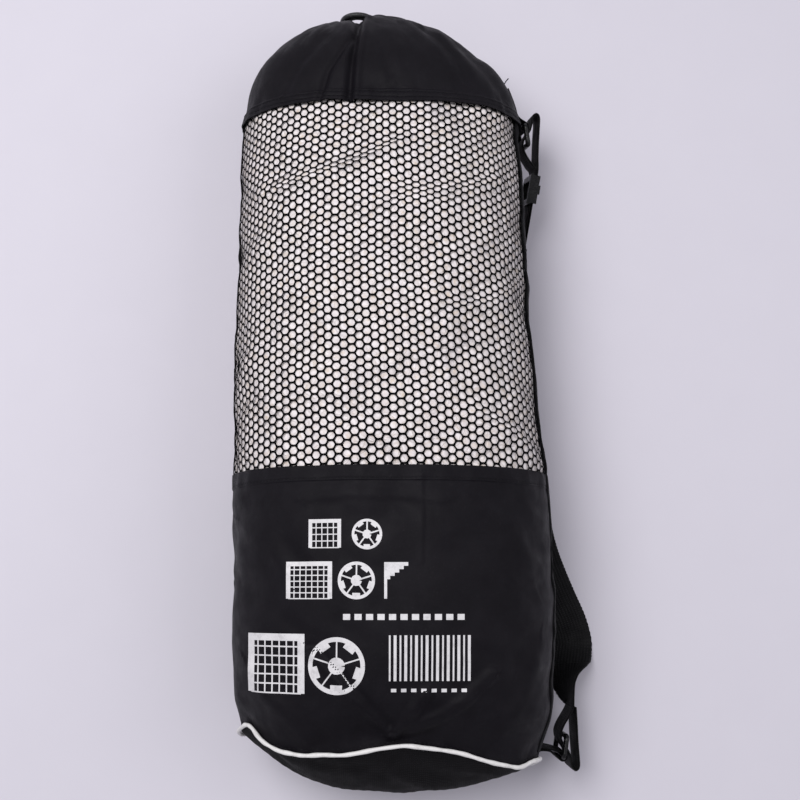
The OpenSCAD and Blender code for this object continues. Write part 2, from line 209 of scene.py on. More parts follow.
def tube_mesh(path, radius, sides, closed=False, relief=None):
    """Points, faces and UVs of a tube along a path; relief(angle, run) scales its radius."""
    path = np.asarray(path, float)
    if closed:
        along = unit(np.roll(path, -1, 0) - np.roll(path, 1, 0))
    else:
        along = unit(np.gradient(path, axis=0))
    normal = np.cross(along[0], [0.31, 0.52, 0.8])
    normals = []
    for d in along:
        normal = unit(normal - d * (normal @ d))
        normals.append(normal)
    a = np.array(normals)
    b = np.cross(along, a)
    if closed:
        twist = np.arctan2(a[0] @ b[-1], a[0] @ a[-1]) * np.linspace(0, 1, len(path))[:, None]
        a, b = a * np.cos(twist) + b * np.sin(twist), b * np.cos(twist) - a * np.sin(twist)
    angle = np.arange(sides) * TURN / sides
    run = distances(path)
    scale = np.ones((len(path), sides))
    if relief is not None:
        scale = relief(angle[None, :], run[:, None]) * scale
    r = np.broadcast_to(np.asarray(radius, float).reshape(-1, 1), (len(path), 1)) * scale
    ring = (path[:, None] + a[:, None] * (np.cos(angle)[None, :] * r)[..., None]
            + b[:, None] * (np.sin(angle)[None, :] * r)[..., None])
    verts = ring.reshape(-1, 3)
    uv = np.stack(np.broadcast_arrays(angle[None, :] * np.mean(radius), run[:, None]), -1)
    faces = grid_faces(len(path), sides, True).tolist()
    last = (len(path) - 1) * sides
    if closed:
        faces += [[last + i, last + (i + 1) % sides, (i + 1) % sides, i] for i in range(sides)]
    else:
        faces += [list(range(sides))[::-1], [last + i for i in range(sides)]]
    return verts, faces, uv.reshape(-1, 2)


def join(parts):
    """Several (points, faces) as one."""
    verts, faces, start = [], [], 0
    for v, f in parts:
        verts.append(np.asarray(v))
        faces += [[i + start for i in q] for q in f]
        start += len(v)
    return np.concatenate(verts), faces


# ---------------------------------------------------------------- materials


class Nodes:
    """A material under construction: short calls that add and join shader nodes."""

    def __init__(self, name, colour, rough, **values):
        self.material = bpy.data.materials.new(name)
        self.material.use_nodes = True
        self.tree = self.material.node_tree
        self.shader = self.tree.nodes["Principled BSDF"]
        self.set("Base Color", (*colour, 1))
        self.set("Roughness", rough)
        for key, value in values.items():
            self.set(key.replace("_", " "), value)
        self.material.diffuse_color = (*colour, 1)
        self.height = None

    def set(self, socket, value):
        """Gives a socket of the shader a value."""
        self.shader.inputs[socket].default_value = value

    def add(self, kind, inputs=(), **settings):
        """A new node; an input that is a socket is joined, and any other is a value."""
        node = self.tree.nodes.new("ShaderNode" + kind)
        for key, value in settings.items():
            setattr(node, key, value)
        for key, value in dict(inputs).items():
            if isinstance(value, bpy.types.NodeSocket):
                self.tree.links.new(value, node.inputs[key])
            else:
                node.inputs[key].default_value = value
        return node

    def place(self, kind):
        """Texture coordinates of that kind."""
        return self.add("TexCoord").outputs[kind]

    def noise(self, size, detail=3.0, rough=0.55):
        """Noise with lumps of about that size in metres."""
        inputs = {"Vector": self.place("Object"), "Scale": 1 / size, "Detail": detail,
                  "Roughness": rough}
        return self.add("TexNoise", inputs).outputs["Fac"]

    def bands(self, axis, period, distortion=0.0, where="UV"):
        """Sine bands of that period in metres."""
        inputs = {"Vector": self.place(where), "Scale": TURN / (20 * period),
                  "Distortion": distortion, "Detail": 1.0}
        return self.add("TexWave", inputs, bands_direction=axis).outputs["Fac"]

    def times(self, a, b):
        """Two factors multiplied."""
        return self.math("MULTIPLY", a, b)

    def math(self, how, a, b):
        """A sum, product or other operation on two numbers."""
        return self.add("Math", {0: a, 1: b}, operation=how).outputs[0]

    def ramp(self, value, low, high, out_low=0.0, out_high=1.0):
        """A number taken from one range to another, and held at its ends."""
        inputs = {"Value": value, "From Min": low, "From Max": high, "To Min": out_low,
                  "To Max": out_high}
        return self.add("MapRange", inputs).outputs[0]

    def colour(self, factor, a, b):
        """A mix from colour a to colour b."""
        node = self.add("Mix", {}, data_type="RGBA")
        self.tree.links.new(factor, node.inputs["Factor"])
        for socket, value in ((6, a), (7, b)):
            if isinstance(value, bpy.types.NodeSocket):
                self.tree.links.new(value, node.inputs[socket])
            else:
                node.inputs[socket].default_value = (*value, 1)
        return node.outputs[2]

    def use(self, socket, value):
        """Joins a node's output to a socket of the shader."""
        self.tree.links.new(value, self.shader.inputs[socket])

    def patchy(self, size, low, high, detail=3.0):
        """Roughness between two values in patches of about that size."""
        self.use("Roughness", self.ramp(self.noise(size, detail), 0.3, 0.7, low, high))

    def bump(self, value, depth, strength=1.0):
        """Adds a bump of that depth in metres on top of those before it."""
        inputs = {"Height": value, "Distance": depth, "Strength": strength}
        if self.height is not None:
            inputs["Normal"] = self.height
        self.height = self.add("Bump", inputs).outputs[0]
        self.use("Normal", self.height)


def woven(name, colour, light, rough, period, depth, sheen, gloss=0.1):
    """Plain-woven cloth: crossed threads, uneven colour and a soft sheen."""
    m = Nodes(name, colour, rough, Sheen_Weight=sheen, Sheen_Roughness=0.4, Specular_IOR_Level=gloss)
    cross = m.times(m.bands("X", period, 0.4), m.bands("Y", period, 0.4))
    worn = m.ramp(m.noise(0.03, 5.0, 0.6), 0.35, 0.7)
    dust = m.ramp(m.noise(0.0016, 2.0), 0.62, 0.8)
    thread = m.times(cross, 0.5)
    tone = m.math("ADD", m.times(worn, 0.5), thread)
    base = m.colour(tone, colour, light)
    m.use("Base Color", m.colour(m.times(dust, 0.05), base, (0.12, 0.11, 0.12)))
    m.patchy(0.012, rough - 0.08, rough + 0.1, 4.0)
    m.bump(m.noise(0.009, 4.0, 0.6), 0.0006, 0.5)
    m.bump(cross, depth, 0.6)
    return m.material


def webbing_material():
    """Ribbed polyester webbing."""
    m = Nodes("webbing_black", (0.006, 0.006, 0.007), 0.6, Sheen_Weight=0.008, Specular_IOR_Level=0.15)
    ribs = m.times(m.bands("X", 0.0027, 0.3), m.bands("Y", 0.0019, 0.5))
    speck = m.ramp(m.noise(0.0011, 2.0), 0.6, 0.75)
    base = m.colour(ribs, (0.001, 0.001, 0.0014), (0.009, 0.009, 0.010))
    m.use("Base Color", m.colour(m.times(speck, 0.08), base, (0.10, 0.10, 0.11)))
    m.patchy(0.01, 0.5, 0.72)
    m.bump(ribs, 0.0005, 0.8)
    m.bump(m.noise(0.0006, 2.0), 0.00015, 0.5)
    return m.material


def braid_material():
    """Glossy braided cord with pale flecks."""
    m = Nodes("braid_black", (0.012, 0.012, 0.014), 0.42, Sheen_Weight=0.02, Specular_IOR_Level=0.5)
    fleck = m.ramp(m.noise(0.0012, 2.0), 0.60, 0.70)
    fine = m.bands("DIAGONAL", 0.0006, 1.0)
    base = m.colour(fine, (0.003, 0.003, 0.004), (0.013, 0.013, 0.015))
    m.use("Base Color", m.colour(m.times(fleck, 0.55), base, (0.35, 0.34, 0.35)))
    m.patchy(0.004, 0.32, 0.55)
    m.bump(fine, 0.0002, 0.5)
    return m.material


def mesh_material():
    """Matt knitted mesh, near black."""
    m = Nodes("mesh_black", (0.001, 0.001, 0.0012), 0.7, Specular_IOR_Level=0.04)
    yarn = m.bands("DIAGONAL", 0.0007, 3.0, "Object")
    tone = m.colour(m.times(yarn, 0.6), (0.0006, 0.0006, 0.0008), (0.0026, 0.0025, 0.003))
    m.use("Base Color", tone)
    m.patchy(0.006, 0.5, 0.7)
    m.bump(yarn, 0.0002, 0.6)
    return m.material


def twine_material():
    """White net: bundled twine with beige dirt patches, and painted shade that darkens the grooves
    between the bundles.
    """
    m = Nodes("net_white", (0.88, 0.87, 0.87), 0.75, Specular_IOR_Level=0.25)
    warp = m.add("TexNoise", {"Vector": m.place("Object"), "Scale": 45.0, "Detail": 2.0})
    moved = m.add("VectorMath", {0: warp.outputs["Color"], 1: (0.03, 0.03, 0.03)},
                  operation="MULTIPLY")
    at = m.add("VectorMath", {0: m.place("Object"), 1: moved.outputs[0]},
               operation="ADD").outputs[0]
    twine = 0.0045
    wave = m.add("TexWave", {"Vector": at, "Scale": TURN / (20 * twine), "Distortion": 2.5,
                             "Detail": 2.0}, bands_direction="DIAGONAL").outputs["Fac"]
    cell = m.add("TexVoronoi", {"Vector": at, "Scale": 95.0}, feature="DISTANCE_TO_EDGE")
    # The grooves between the bundles, at the cell edges: they shape the bump and carry painted shade.
    groove = m.ramp(cell.outputs["Distance"], 0.0, 0.05)
    dirt = m.times(m.ramp(m.noise(0.005, 4.0, 0.65), 0.50, 0.70), 0.7)
    clean = m.colour(wave, (0.68, 0.635, 0.64), (0.80, 0.755, 0.755))
    mottled = m.colour(dirt, clean, (0.60, 0.49, 0.37))
    # Painted shade: a darker beige colour along the grooves between the bundles.
    m.use("Base Color", m.colour(groove, (0.72, 0.66, 0.63), mottled))
    m.bump(groove, 0.0008, 0.5)
    m.bump(wave, 0.0004, 0.5)
    return m.material


def trim_material(name, colour, dirty, rough):
    """Off-white trim or print with fine grain and a little grime."""
    m = Nodes(name, colour, rough, Specular_IOR_Level=0.4)
    grime = m.ramp(m.noise(0.006, 5.0, 0.7), 0.5, 0.75)
    speck = m.ramp(m.noise(0.0009, 2.0), 0.62, 0.74)
    m.use("Base Color", m.colour(m.math("MAXIMUM", m.times(grime, 0.5),
                                        m.times(speck, 0.5)), colour, dirty))
    m.bump(m.noise(0.0009, 3.0), 0.0002, 0.5)
    return m.material


def plastic_material():
    """Moulded plastic with scuffs."""
    m = Nodes("plastic_black", (0.006, 0.006, 0.007), 0.26, Specular_IOR_Level=0.28,
              Coat_Weight=0.05, Coat_Roughness=0.2)
    scuff = m.ramp(m.noise(0.0025, 6.0, 0.75), 0.5, 0.72)
    m.use("Base Color", m.colour(m.times(scuff, 0.3), (0.003, 0.003, 0.0035),
                                 (0.012, 0.012, 0.013)))
    m.use("Roughness", m.ramp(scuff, 0, 1, 0.22, 0.48))
    m.bump(m.noise(0.0007, 3.0), 0.0001, 0.6)
    m.bump(m.noise(0.006, 2.0), 0.0006, 0.4)
    return m.material


def steel_material():
    """Drawn spring wire."""
    m = Nodes("spring_wire", (0.55, 0.55, 0.56), 0.3, Metallic=1.0)
    m.patchy(0.0015, 0.22, 0.42, 4.0)
    m.bump(m.noise(0.0004), 0.00003, 0.5)
    return m.material


def floor_material():
    """Plain pale floor."""
    m = Nodes("floor_pale", (0.63, 0.61, 0.67), 0.85, Specular_IOR_Level=0.2)
    m.use("Base Color", m.colour(m.noise(0.05, 4.0), (0.62, 0.60, 0.66), (0.64, 0.62, 0.68)))
    m.bump(m.noise(0.0015, 2.0), 0.0001, 0.3)
    return m.material


NYLON = woven("nylon_black", (0.0034, 0.0027, 0.0044), (0.0085, 0.0074, 0.0102), 0.5, 0.0006,
              0.00018, 0.008, gloss=0.11)
BASE_CLOTH = woven("base_black", (0.0022, 0.0020, 0.0025), (0.008, 0.0075, 0.0085), 0.75, 0.0016,
                   0.0006, 0.008)
TAPE = woven("tape_black", (0.002, 0.002, 0.0025), (0.006, 0.006, 0.007), 0.65, 0.0011, 0.0003,
             0.008)
WEBBING = webbing_material()
BRAID = braid_material()
MESH = mesh_material()
TWINE = twine_material()
PIPING = trim_material("piping_white", (0.72, 0.71, 0.70), (0.36, 0.34, 0.32), 0.5)
PRINT = trim_material("print_white", (0.66, 0.65, 0.66), (0.25, 0.24, 0.25), 0.6)
THREAD = woven("thread_black", (0.006, 0.006, 0.007), (0.018, 0.018, 0.021), 0.5, 0.0005, 0.0001,
               0.01)
PLASTIC = plastic_material()
STEEL = steel_material()

# ---------------------------------------------------------------- the bag's surface

# [y, middle x, half width, height] from the base to the collar seam, as in the CAD model
STATIONS = arr([-310, -4, 120, 142], [-270, -1, 129, 165], [-209, 0, 132.8, 178],
               [-140, -1, 132.5, 184], [-69, -3, 131.7, 186], [10, -6.5, 129, 184],
               [88, -9.4, 126.8, 180], [170, -9.8, 125, 170], [250, -9.4, 123, 152])
# [y, share of the half width, share of the height] from the collar seam to the gathered mouth
DOME = arr([250, 1, 1], [275, .96, .98], [297, .88, .93], [311, .79, .88], [322, .70, .81],
           [334, .56, .70], [343, .43, .58], [348, .33, .48], [348, .265, .40], [343, .215, .345])
MOUTH = arr(-28, 332, 70)
# How far the base seam is shifted along the bag at each share of the half width
EDGE_SHIFT = arr([-1.05, 14], [-0.99, 20], [-0.93, 22], [-0.84, 9], [-0.72, -1], [-0.55, -5], [-0.32, -5],
                 [-0.1, 0], [0.1, 3], [0.25, 1], [0.5, -5], [0.7, -11], [0.85, -12], [1, -5], [1.05, -3])
BASE_Y, LOWER_SEAM, COLLAR_SEAM = -310.0, -70.0, 250.0
# Height of the widest point, how far the section dips below the floor before it is cut flat,
# and where along the bag and how far the underside rises at the base
SIDE_Z, UNDER_Z, RISE_Y, BASE_RISE = 85.0, 8.0, -290.0, 5.0
TUCK = 8.0
CLOTH = 1.1
# Rows of stitches: y on the lower panel, and v on the collar, whose hem is COLLAR_STEP long for
# each step of v
HEM_STITCH, BASE_STITCH, COLLAR_STITCHES, COLLAR_STEP = -77.6, -304.6, (0.104, 0.248), 25.0


def station(y, column):
    """A column of STATIONS at y."""
    place = np.interp(y, STATIONS[:, 0], np.arange(len(STATIONS)))
    return spline(STATIONS[:, column], place)


def power(v, p):
    """A power that keeps its sign, for the section's squared-off ellipse."""
    return np.sign(v) * np.abs(v) ** p


def section(y, t, inset=0.0):
    """The CAD model's cross-section at y and angle t, with the floor's edge rounded off."""
    y, t = np.broadcast_arrays(np.asarray(y, float), np.asarray(t, float))
    c, w, h = station(y, 1), station(y, 2) - inset, station(y, 3) - inset
    x = c + w * power(np.cos(t), 0.87)
    low = SIDE_Z - (SIDE_Z + UNDER_Z - inset) * np.abs(np.sin(t)) ** 0.8
    floor = BASE_RISE * np.maximum(0, (RISE_Y - y) / (RISE_Y - BASE_Y)) + inset
    soft = 0.5 * (low + floor + np.sqrt((low - floor) ** 2 + 9.0)) - 0.4
    z = np.where(np.sin(t) >= 0, SIDE_Z + (h - SIDE_Z) * np.abs(np.sin(t)) ** 0.87, soft)
    r = np.maximum(0, (LOWER_SEAM - y) / (LOWER_SEAM - BASE_Y))
    e = (x - c) / (w + inset)
    shift = sum(np.interp(e + d, EDGE_SHIFT[:, 0], EDGE_SHIFT[:, 1]) for d in (-0.03, 0, 0.03)) / 3
    return np.stack([x, y + r * (0.2 * z + r * r * shift), z], -1)


def dome(v, t, inset=0.0):
    """The collar at v from 0, its seam, to 9, the gathered mouth."""
    v, t = np.broadcast_arrays(np.asarray(v, float), np.asarray(t, float))
    y, f, g = (spline(DOME[:, k], v) for k in range(3))
    p = section(COLLAR_SEAM, t, inset)
    s = (1 - f) / (1 - DOME[-1, 1])
    cx = -9.4 + (MOUTH[0] + 9.4) * s
    cz = 76 + (MOUTH[2] - 76) * s
    y = y - inset * (1 - f) - TUCK * s * s * np.maximum(0, -np.sin(t))
    return np.stack([cx + f * (p[..., 0] + 9.4), y, cz + g * (p[..., 2] - 76)], -1)


# Angles at even steps of the girth, so that weave and cells keep their width round the bag
ROUND = np.linspace(0, TURN, 1441)
GIRTH_RUN = distances(section(90.0, ROUND))
GIRTH = float(GIRTH_RUN[-1])


def angle_at(run):
    """The section's angle at a distance round the bag."""
    return np.interp(np.mod(run, GIRTH), GIRTH_RUN, ROUND)


def runs_round(count):
    """Even steps round the bag, without the one that closes it."""
    return np.linspace(0, GIRTH, count, endpoint=False)


def run_at(angle):
    """The distance round the bag at an angle."""
    return np.interp(angle, ROUND, GIRTH_RUN)


def fold(p, line, width, height, side=0.0):
    """Height of a fold along a line of (x, y); side makes one flank a hollow."""
    line = np.asarray(line, float)
    best = np.full(p.shape[:-1], 1e9)
    signed = np.zeros(p.shape[:-1])
    for a, b in zip(line[:-1], line[1:]):
        ab = b - a
        ap = p[..., :2] - a
        k = np.clip((ap @ ab) / (ab @ ab), 0, 1)
        off = ap - k[..., None] * ab
        d = np.linalg.norm(off, axis=-1)
        left = np.sign(ab[0] * ap[..., 1] - ab[1] * ap[..., 0])
        near = d < best
        best = np.where(near, d, best)
        signed = np.where(near, d * left, signed)
    ridge = np.exp(-(best / width) ** 2)
    hollow = np.exp(-((signed - 1.7 * width) / width) ** 2) * (best < 4 * width)
    return height * (ridge - side * hollow)


# Folds on the upper side: line of (x, y), width, height, depth of the hollow beside it
MESH_FOLDS = [
    ([(-108, 165), (-77, 172), (-44, 182), (-19, 193), (8, 206)], 4.2, 3.4, -0.5),
    ([(-100, 178), (-60, 186), (-20, 203), (20, 222)], 6.0, -1.8, 0.0),
    ([(-2, 163), (29, 162), (60, 167), (88, 178)], 4.5, 2.2, 0.5),
    ([(-110, 120), (-60, 128), (-10, 122)], 8.0, 1.3, 0.3),
    ([(30, 60), (80, 70), (112, 96)], 8.0, 1.6, 0.4),
    ([(-118, 20), (-80, 8), (-40, 10)], 9.0, 1.4, 0.3),
    ([(60, -20), (95, -38), (118, -60)], 7.0, 1.6, 0.4),
    ([(-60, -50), (-20, -40), (20, -44)], 8.0, 1.0, 0.3)]
LOWER_FOLDS = [
    ([(20, -74), (20, -105), (19, -140)], 1.3, 0.7, 0.6),
    ([(-68, -92), (-35, -89), (3, -90), (36, -93)], 3.6, 1.3, -0.7),
    ([(-64, -208), (-42, -231), (-24, -250), (-9, -264)], 3.4, 2.6, 0.8),
    ([(21, -236), (10, -252), (-3, -267)], 2.6, 2.6, -0.9),
    ([(-1, -270), (14, -267), (33, -259), (51, -247), (74, -226)], 2.9, 3.0, -0.9),
    ([(-24, -268), (2, -271)], 11.0, -4.6, 0.0),
    ([(-112, -222), (-92, -248), (-70, -272)], 7.0, 1.7, 0.6),
    ([(84, -268), (102, -240), (112, -206)], 7.0, 1.6, 0.6),
    ([(-118, -110), (-96, -126), (-84, -150)], 8.0, 1.2, 0.5),
    ([(70, -100), (96, -122), (108, -150)], 8.0, 1.4, 0.5)]
COLLAR_FOLDS = [
    ([(-28, 340), (-30, 315), (-34, 290), (-36, 266), (-37, 246)], 3.4, -5.0, 0.35),
    ([(-34, 312), (-47, 288), (-55, 273), (-62, 247)], 3.2, -2.6, 0.3),
    ([(-20, 335), (-8, 300), (-2, 270)], 5.0, -1.3, 0.4),
    ([(-60, 310), (-80, 285), (-92, 262)], 5.0, -1.3, 0.4),
    ([(30, 322), (52, 296), (64, 270)], 5.0, -1.4, 0.4),
    ([(62, 305), (84, 280), (98, 262)], 5.0, -1.2, 0.4)]


def folds(p, table):
    """The folds' height at points on the bag's upper side."""
    total = sum(fold(p, *row) for row in table)
    return total * above(p, 55, 40)


def outward(p):
    """Rough outward way in the cross-section; straight down or up on the flat underside."""
    way = np.stack([p[..., 0] + 6, 0 * p[..., 1], (p[..., 2] - 76) * 1.9], -1)
    return unit(way)


def body_point(y, t, inset=0.0, table=MESH_FOLDS, lump=1.0):
    """The bag's cloth: the smooth section with the lumps of its contents and its folds."""
    p = section(y, t, inset)
    free = above(p, 4, 30)
    swell = 1.2 * noise(p, 38.0, 3) + 0.7 * noise(p, 17.0, 5)
    inward = np.minimum(0, lump * swell - 0.9)
    return p + outward(p) * ((inward + folds(p, table)) * free)[..., None]


# How far the collar's crest slumps back along the bag at each x
CREST = arr([-110, -1], [-90, -3], [-60, -4], [-45, -5], [-36, -5.2], [-30, -5.6], [-25, -5.4],
            [-20, -1.2], [-8, -1], [12, -1], [32, -2.5], [42, -1.2], [60, -4], [76, -6.5],
            [90, -4.5], [110, -1])


def collar_point(v, t, inset=0.0):
    """The collar: pleats that deepen towards the mouth, and the creases of the upper side."""
    v = np.asarray(v, float)
    p = dome(v, t, inset)
    slump = np.interp(p[..., 0], CREST[:, 0], CREST[:, 1]) * smooth_step(v / 3.2)
    p[..., 1] += slump * above(p, 60, 30)
    depth = smooth_step((v - 1.0) / 6.5)
    wander = 0.5 * noise(p, 60.0, 11) * (1 - 0.5 * depth)
    pleat = np.abs(np.sin(12 * t + wander * 3.0)) - 0.62
    fine = np.abs(np.sin(19 * t - wander * 4.0 + 0.7)) - 0.62
    size = station(COLLAR_SEAM, 2) * spline(DOME[:, 1], v) / 30
    rise = depth * (1.5 * pleat + 0.7 * fine) * np.minimum(1.0, size + 0.25)
    soft = 0.8 * noise(p, 30.0, 21) - 0.7
    way = unit((p - arr(-20, 255, 72)) * arr(1, 1, 1.5))
    free = above(p, 2, 20)
    return p + way * ((rise + soft * free + folds(p, COLLAR_FOLDS)) * free)[..., None]


def lifted(surface, a, b, lift, step_a=0.5, step_b=0.004):
    """Points of a surface raised along its normal; a runs along the bag and b round it."""
    p = surface(a, b)
    normal = unit(np.cross(surface(a + step_a, b) - surface(a - step_a, b),
                           surface(a, b + step_b) - surface(a, b - step_b)))
    return p + normal * np.asarray(lift, float)[..., None]


# ---------------------------------------------------------------- net and mesh


def net_contents():
    """The folded net: soft bundles pressed against the mesh, with hollows between them."""
    cols = 300
    t = angle_at(runs_round(cols))[None, :]
    y = np.linspace(-304, 250, 230)[:, None]
    p = body_point(y, t, 1.45, MESH_FOLDS + LOWER_FOLDS)
    crease = np.abs(noise(p, 21.0, 31)) ** 0.7
    bundle = np.abs(noise(p * arr(1, 0.6, 1), 9.0, 37)) ** 0.8
    sink = 1.2 * (1 - np.minimum(1, crease * 2.2)) + 0.35 * (1 - np.minimum(1, bundle * 1.8))
    sink = sink + 3.0 * smooth_step((LOWER_SEAM - y) / 8) + 2.2 * smooth_step((y - 243) / 5)
    p = p - outward(p) * (sink * above(p, 4, 20))[..., None]
    centre = p.mean(1, keepdims=True)
    low = [centre[0] + (p[0] - centre[0]) * k - arr(0, 12 * (1 - k), 0)
           for k in (0.05, 0.4, 0.75)]
    high = []
    for v in (1.5, 3.0, 4.5, 6.0):
        ring = collar_point(v, t[0], 3.5)
        middle = ring.mean(0)
        high.append(middle + (ring - middle) * 0.97 - arr(0, 2.0, 0))
    high += [middle + (ring - middle) * k - arr(0, back, 0) for k, back in ((0.4, 6), (0.03, 8))]
    rings = np.concatenate([np.array(low), p, np.array(high)])
    faces = grid_faces(len(rings), cols, True)[:, ::-1].tolist()
    last = (len(rings) - 1) * cols
    faces += [list(range(cols)), [last + i for i in range(cols)][::-1]]
    link("net_contents", rings.reshape(-1, 3), faces, "bag", TWINE,
         hides=["folded_net"])


# Lines of (x, y) along which the mesh cells are squeezed, with the share and the reach
SQUEEZES = [([(-106, 163), (-77, 171), (-44, 181), (-19, 192), (12, 209)], 0.55, 5.5),
            ([(-4, 163), (29, 161), (62, 165), (84, 176)], 0.40, 6.0),
            ([(-20, 150), (20, 152), (56, 149)], 0.30, 6.0),
            ([(34, 60), (80, 70), (112, 96)], 0.35, 6.0),
            ([(60, -20), (95, -36), (116, -52)], 0.35, 6.0)]


def squeeze(u, y):
    """How far the mesh is drawn along the bag towards the wrinkles on its upper side."""
    t = angle_at(u)
    x = section(y, t)[..., 0]
    total = 0 * u
    for line, share, reach in SQUEEZES:
        line = np.asarray(line, float)
        off = y - np.interp(x, line[:, 0], line[:, 1])
        inside = smooth_step((x - line[0, 0]) / 14) * smooth_step((line[-1, 0] - x) / 14)
        total = total - share * reach * np.tanh(off / reach) * np.exp(-(off / 30) ** 2) * inside
    return total * (np.sin(t) > 0)


def mesh_lattice():
    """Knitted hexagonal mesh as a real lattice: a strand with a rounded section round each hole.

    Points are on a grid of sixths of a cell's width (u) and quarters of a row's rise (v).
    """
    columns = 118
    pitch = GIRTH / columns
    rise = 7.2
    y0, y1 = -76.0, 256.0
    rows = int((y1 - y0) / rise)
    corner = np.array([(4, 0), (3, 1), (2, 2), (0, 2), (-2, 2), (-3, 1),
                       (-4, 0), (-3, -1), (-2, -2), (0, -2), (2, -2), (3, -1)])
    unit_u, unit_v = pitch / 6, rise / 4
    i, j = np.meshgrid(np.arange(columns), np.arange(rows), indexing="ij")
    cu = (i * 6).ravel()
    cv = (j * 4 + 2 * (i % 2)).ravel()
    key_u = np.mod(cu[:, None] + corner[:, 0], columns * 6)
    key_v = cv[:, None] + corner[:, 1] + 2
    code = 10000
    codes, edge = np.unique(key_u * code + key_v, return_inverse=True)
    edge = edge.reshape(key_u.shape)
    eu, ev = (codes // code) * unit_u, (codes % code - 2) * unit_v
    b = corner * arr(unit_u, unit_v)
    hole_radius = np.array([3.10, 2.86, 3.10, 2.98] * 3) - 0.02
    hole = b * (hole_radius / np.linalg.norm(b, axis=1))[:, None]
    hu = (cu[:, None] * unit_u + hole[:, 0]).ravel()
    hv = (cv[:, None] * unit_v + hole[:, 1]).ravel()

    def place(u, v, lift):
        """Points on the bag, with the knit's unevenness, and the ends tucked under the hems."""
        q = np.stack([u, v, 0 * u], -1)
        u2 = u + 0.45 * noise(q, 34.0, 51) + 0.12 * noise(q, 7.0, 52)
        v2 = v + 0.55 * noise(q, 40.0, 53) + 0.12 * noise(q, 7.0, 54)
        v2 = v2 + squeeze(u2, y0 + v2)
        y = y0 + v2
        tucked = 1.9 * smooth_step((y - 245.5) / 4) + 1.9 * smooth_step((-68.0 - y) / 4)
        return lifted(lambda a, t: body_point(a, t, 0.55), y, angle_at(u2), lift - tucked)

    top = place(eu, ev, np.full(eu.shape, 0.38))
    bottom = place(eu, ev, np.full(eu.shape, -0.30))
    middle = place(hu, hv, np.zeros(hu.shape))
    verts = np.concatenate([top, bottom, middle])
    n = len(codes)
    h = 2 * n + np.arange(len(cu))[:, None] * 12 + np.arange(12)
    nxt = np.roll(np.arange(12), -1)
    upper = np.stack([edge, edge[:, nxt], h[:, nxt], h], -1)
    under = np.stack([edge + n, h, h[:, nxt], edge[:, nxt] + n], -1)
    angle = angle_at(cu * unit_u)
    front = (angle > np.radians(9)) & (angle < np.radians(171))
    uv = np.concatenate([np.stack([eu, ev], 1)] * 2 + [np.stack([hu, hv], 1)])
    halves = ("mesh_front", front, ["mesh_panel"]), ("mesh_back", ~front, [])
    for name, chosen, hides in halves:
        faces = np.concatenate([upper[chosen].reshape(-1, 4), under[chosen].reshape(-1, 4)])
        used, index = np.unique(faces, return_inverse=True)
        link(name, verts[used], index.reshape(-1, 4), "bag", MESH, uv[used], GIRTH,
             hides)


net_contents()
mesh_lattice()

# ---------------------------------------------------------------- cloth panels


def band(y, low, high, soft=0.8):
    """One between low and high, nought outside, with soft edges."""
    return smooth_step((y - low) / soft + 0.5) * smooth_step((high - y) / soft + 0.5)


def stitch_dip(y, line, run):
    """The groove that a row of stitches pulls into the cloth."""
    return -0.35 * np.exp(-((y - line) / 0.8) ** 2) * (0.75 + 0.25 * np.cos(run * TURN / 3.6))


def lower_surface(y, t):
    """The lower panel with its hem and puckers."""
    run = run_at(t)
    p = body_point(y, t, -0.1, LOWER_FOLDS, 0.8)
    hem = 0.75 * band(y, -79.5, -66.5) + 0.25 * np.sin(run / 3.1) * band(y, -80, -66, 3)
    pucker = 0.35 * noise(p * arr(1, 0.3, 1), 7.0, 61) * np.exp(-np.maximum(0, -78 - y) / 9)
    edge = 0.5 * noise(p * arr(1, 0.3, 1), 6.0, 62) * np.exp(-np.maximum(0, y + 304) / 8)
    fine = 0.35 * noise(p, 22.0, 63)
    rise = hem + pucker + edge + fine + stitch_dip(y, HEM_STITCH, run)
    return p + outward(p) * (rise * above(p, 3, 16))[..., None]


def lower_panel():
    """The nylon lower body, with more rows near its two seams."""
    run = runs_round(420)[None, :]
    y = np.r_[np.linspace(-308.4, -296, 14), np.linspace(-294, -84, 104),
              np.linspace(-83, -66.3, 34)][:, None]
    p = lower_surface(y, angle_at(run))
    uv = np.stack(np.broadcast_arrays(run, y), -1)
    return cloth_tube("lower_cloth", p, uv, GIRTH, ["lower_panel"])


def collar_surface(v, t):
    """The collar with its hem, which sags over the mesh, and its puckers."""
    v, run = np.asarray(v, float), run_at(t)
    p = collar_point(v, t, -0.1)
    along = v * COLLAR_STEP + COLLAR_SEAM
    hem = 0.7 * band(along, 247, 257.5) + 0.25 * np.sin(run / 3.3) * band(along, 246, 258, 3)
    pucker = 0.35 * noise(p * arr(1, 0.3, 1), 7.0, 71) * np.exp(-np.maximum(0, along - 257) / 12)
    rise = hem + pucker
    for stitch in COLLAR_STITCHES:
        rise = rise + stitch_dip(along, stitch * COLLAR_STEP + COLLAR_SEAM, run)
    free = above(p, 3, 16)
    reach = smooth_step((0.45 - v) / 0.55)
    sag = 4.4 + 0.9 * np.sin((p[..., 0] + 30) / 21) + 0.4 * np.sin(p[..., 0] / 7)
    p[..., 1] -= reach * sag * above(p, 40, 60)
    rise = rise + 1.6 * reach
    return p + outward(p) * (rise * free)[..., None]


def top_collar():
    """The nylon collar, from its hem to the gathered mouth."""
    cols = 440
    run = runs_round(cols)[None, :]
    v = np.r_[np.linspace(-0.11, 0.42, 34), np.linspace(0.46, 9.0, 110)][:, None]
    p = collar_surface(v, angle_at(run))
    p[0] = p[0] - outward(p[0]) * 0.5
    shrink = 1 - 0.5 * v / 9
    uv = np.stack([run * shrink, np.broadcast_to(v * 18, (len(v), cols))], -1)
    cloth_tube("collar_cloth", p, uv, 0.0, ["top_collar"])


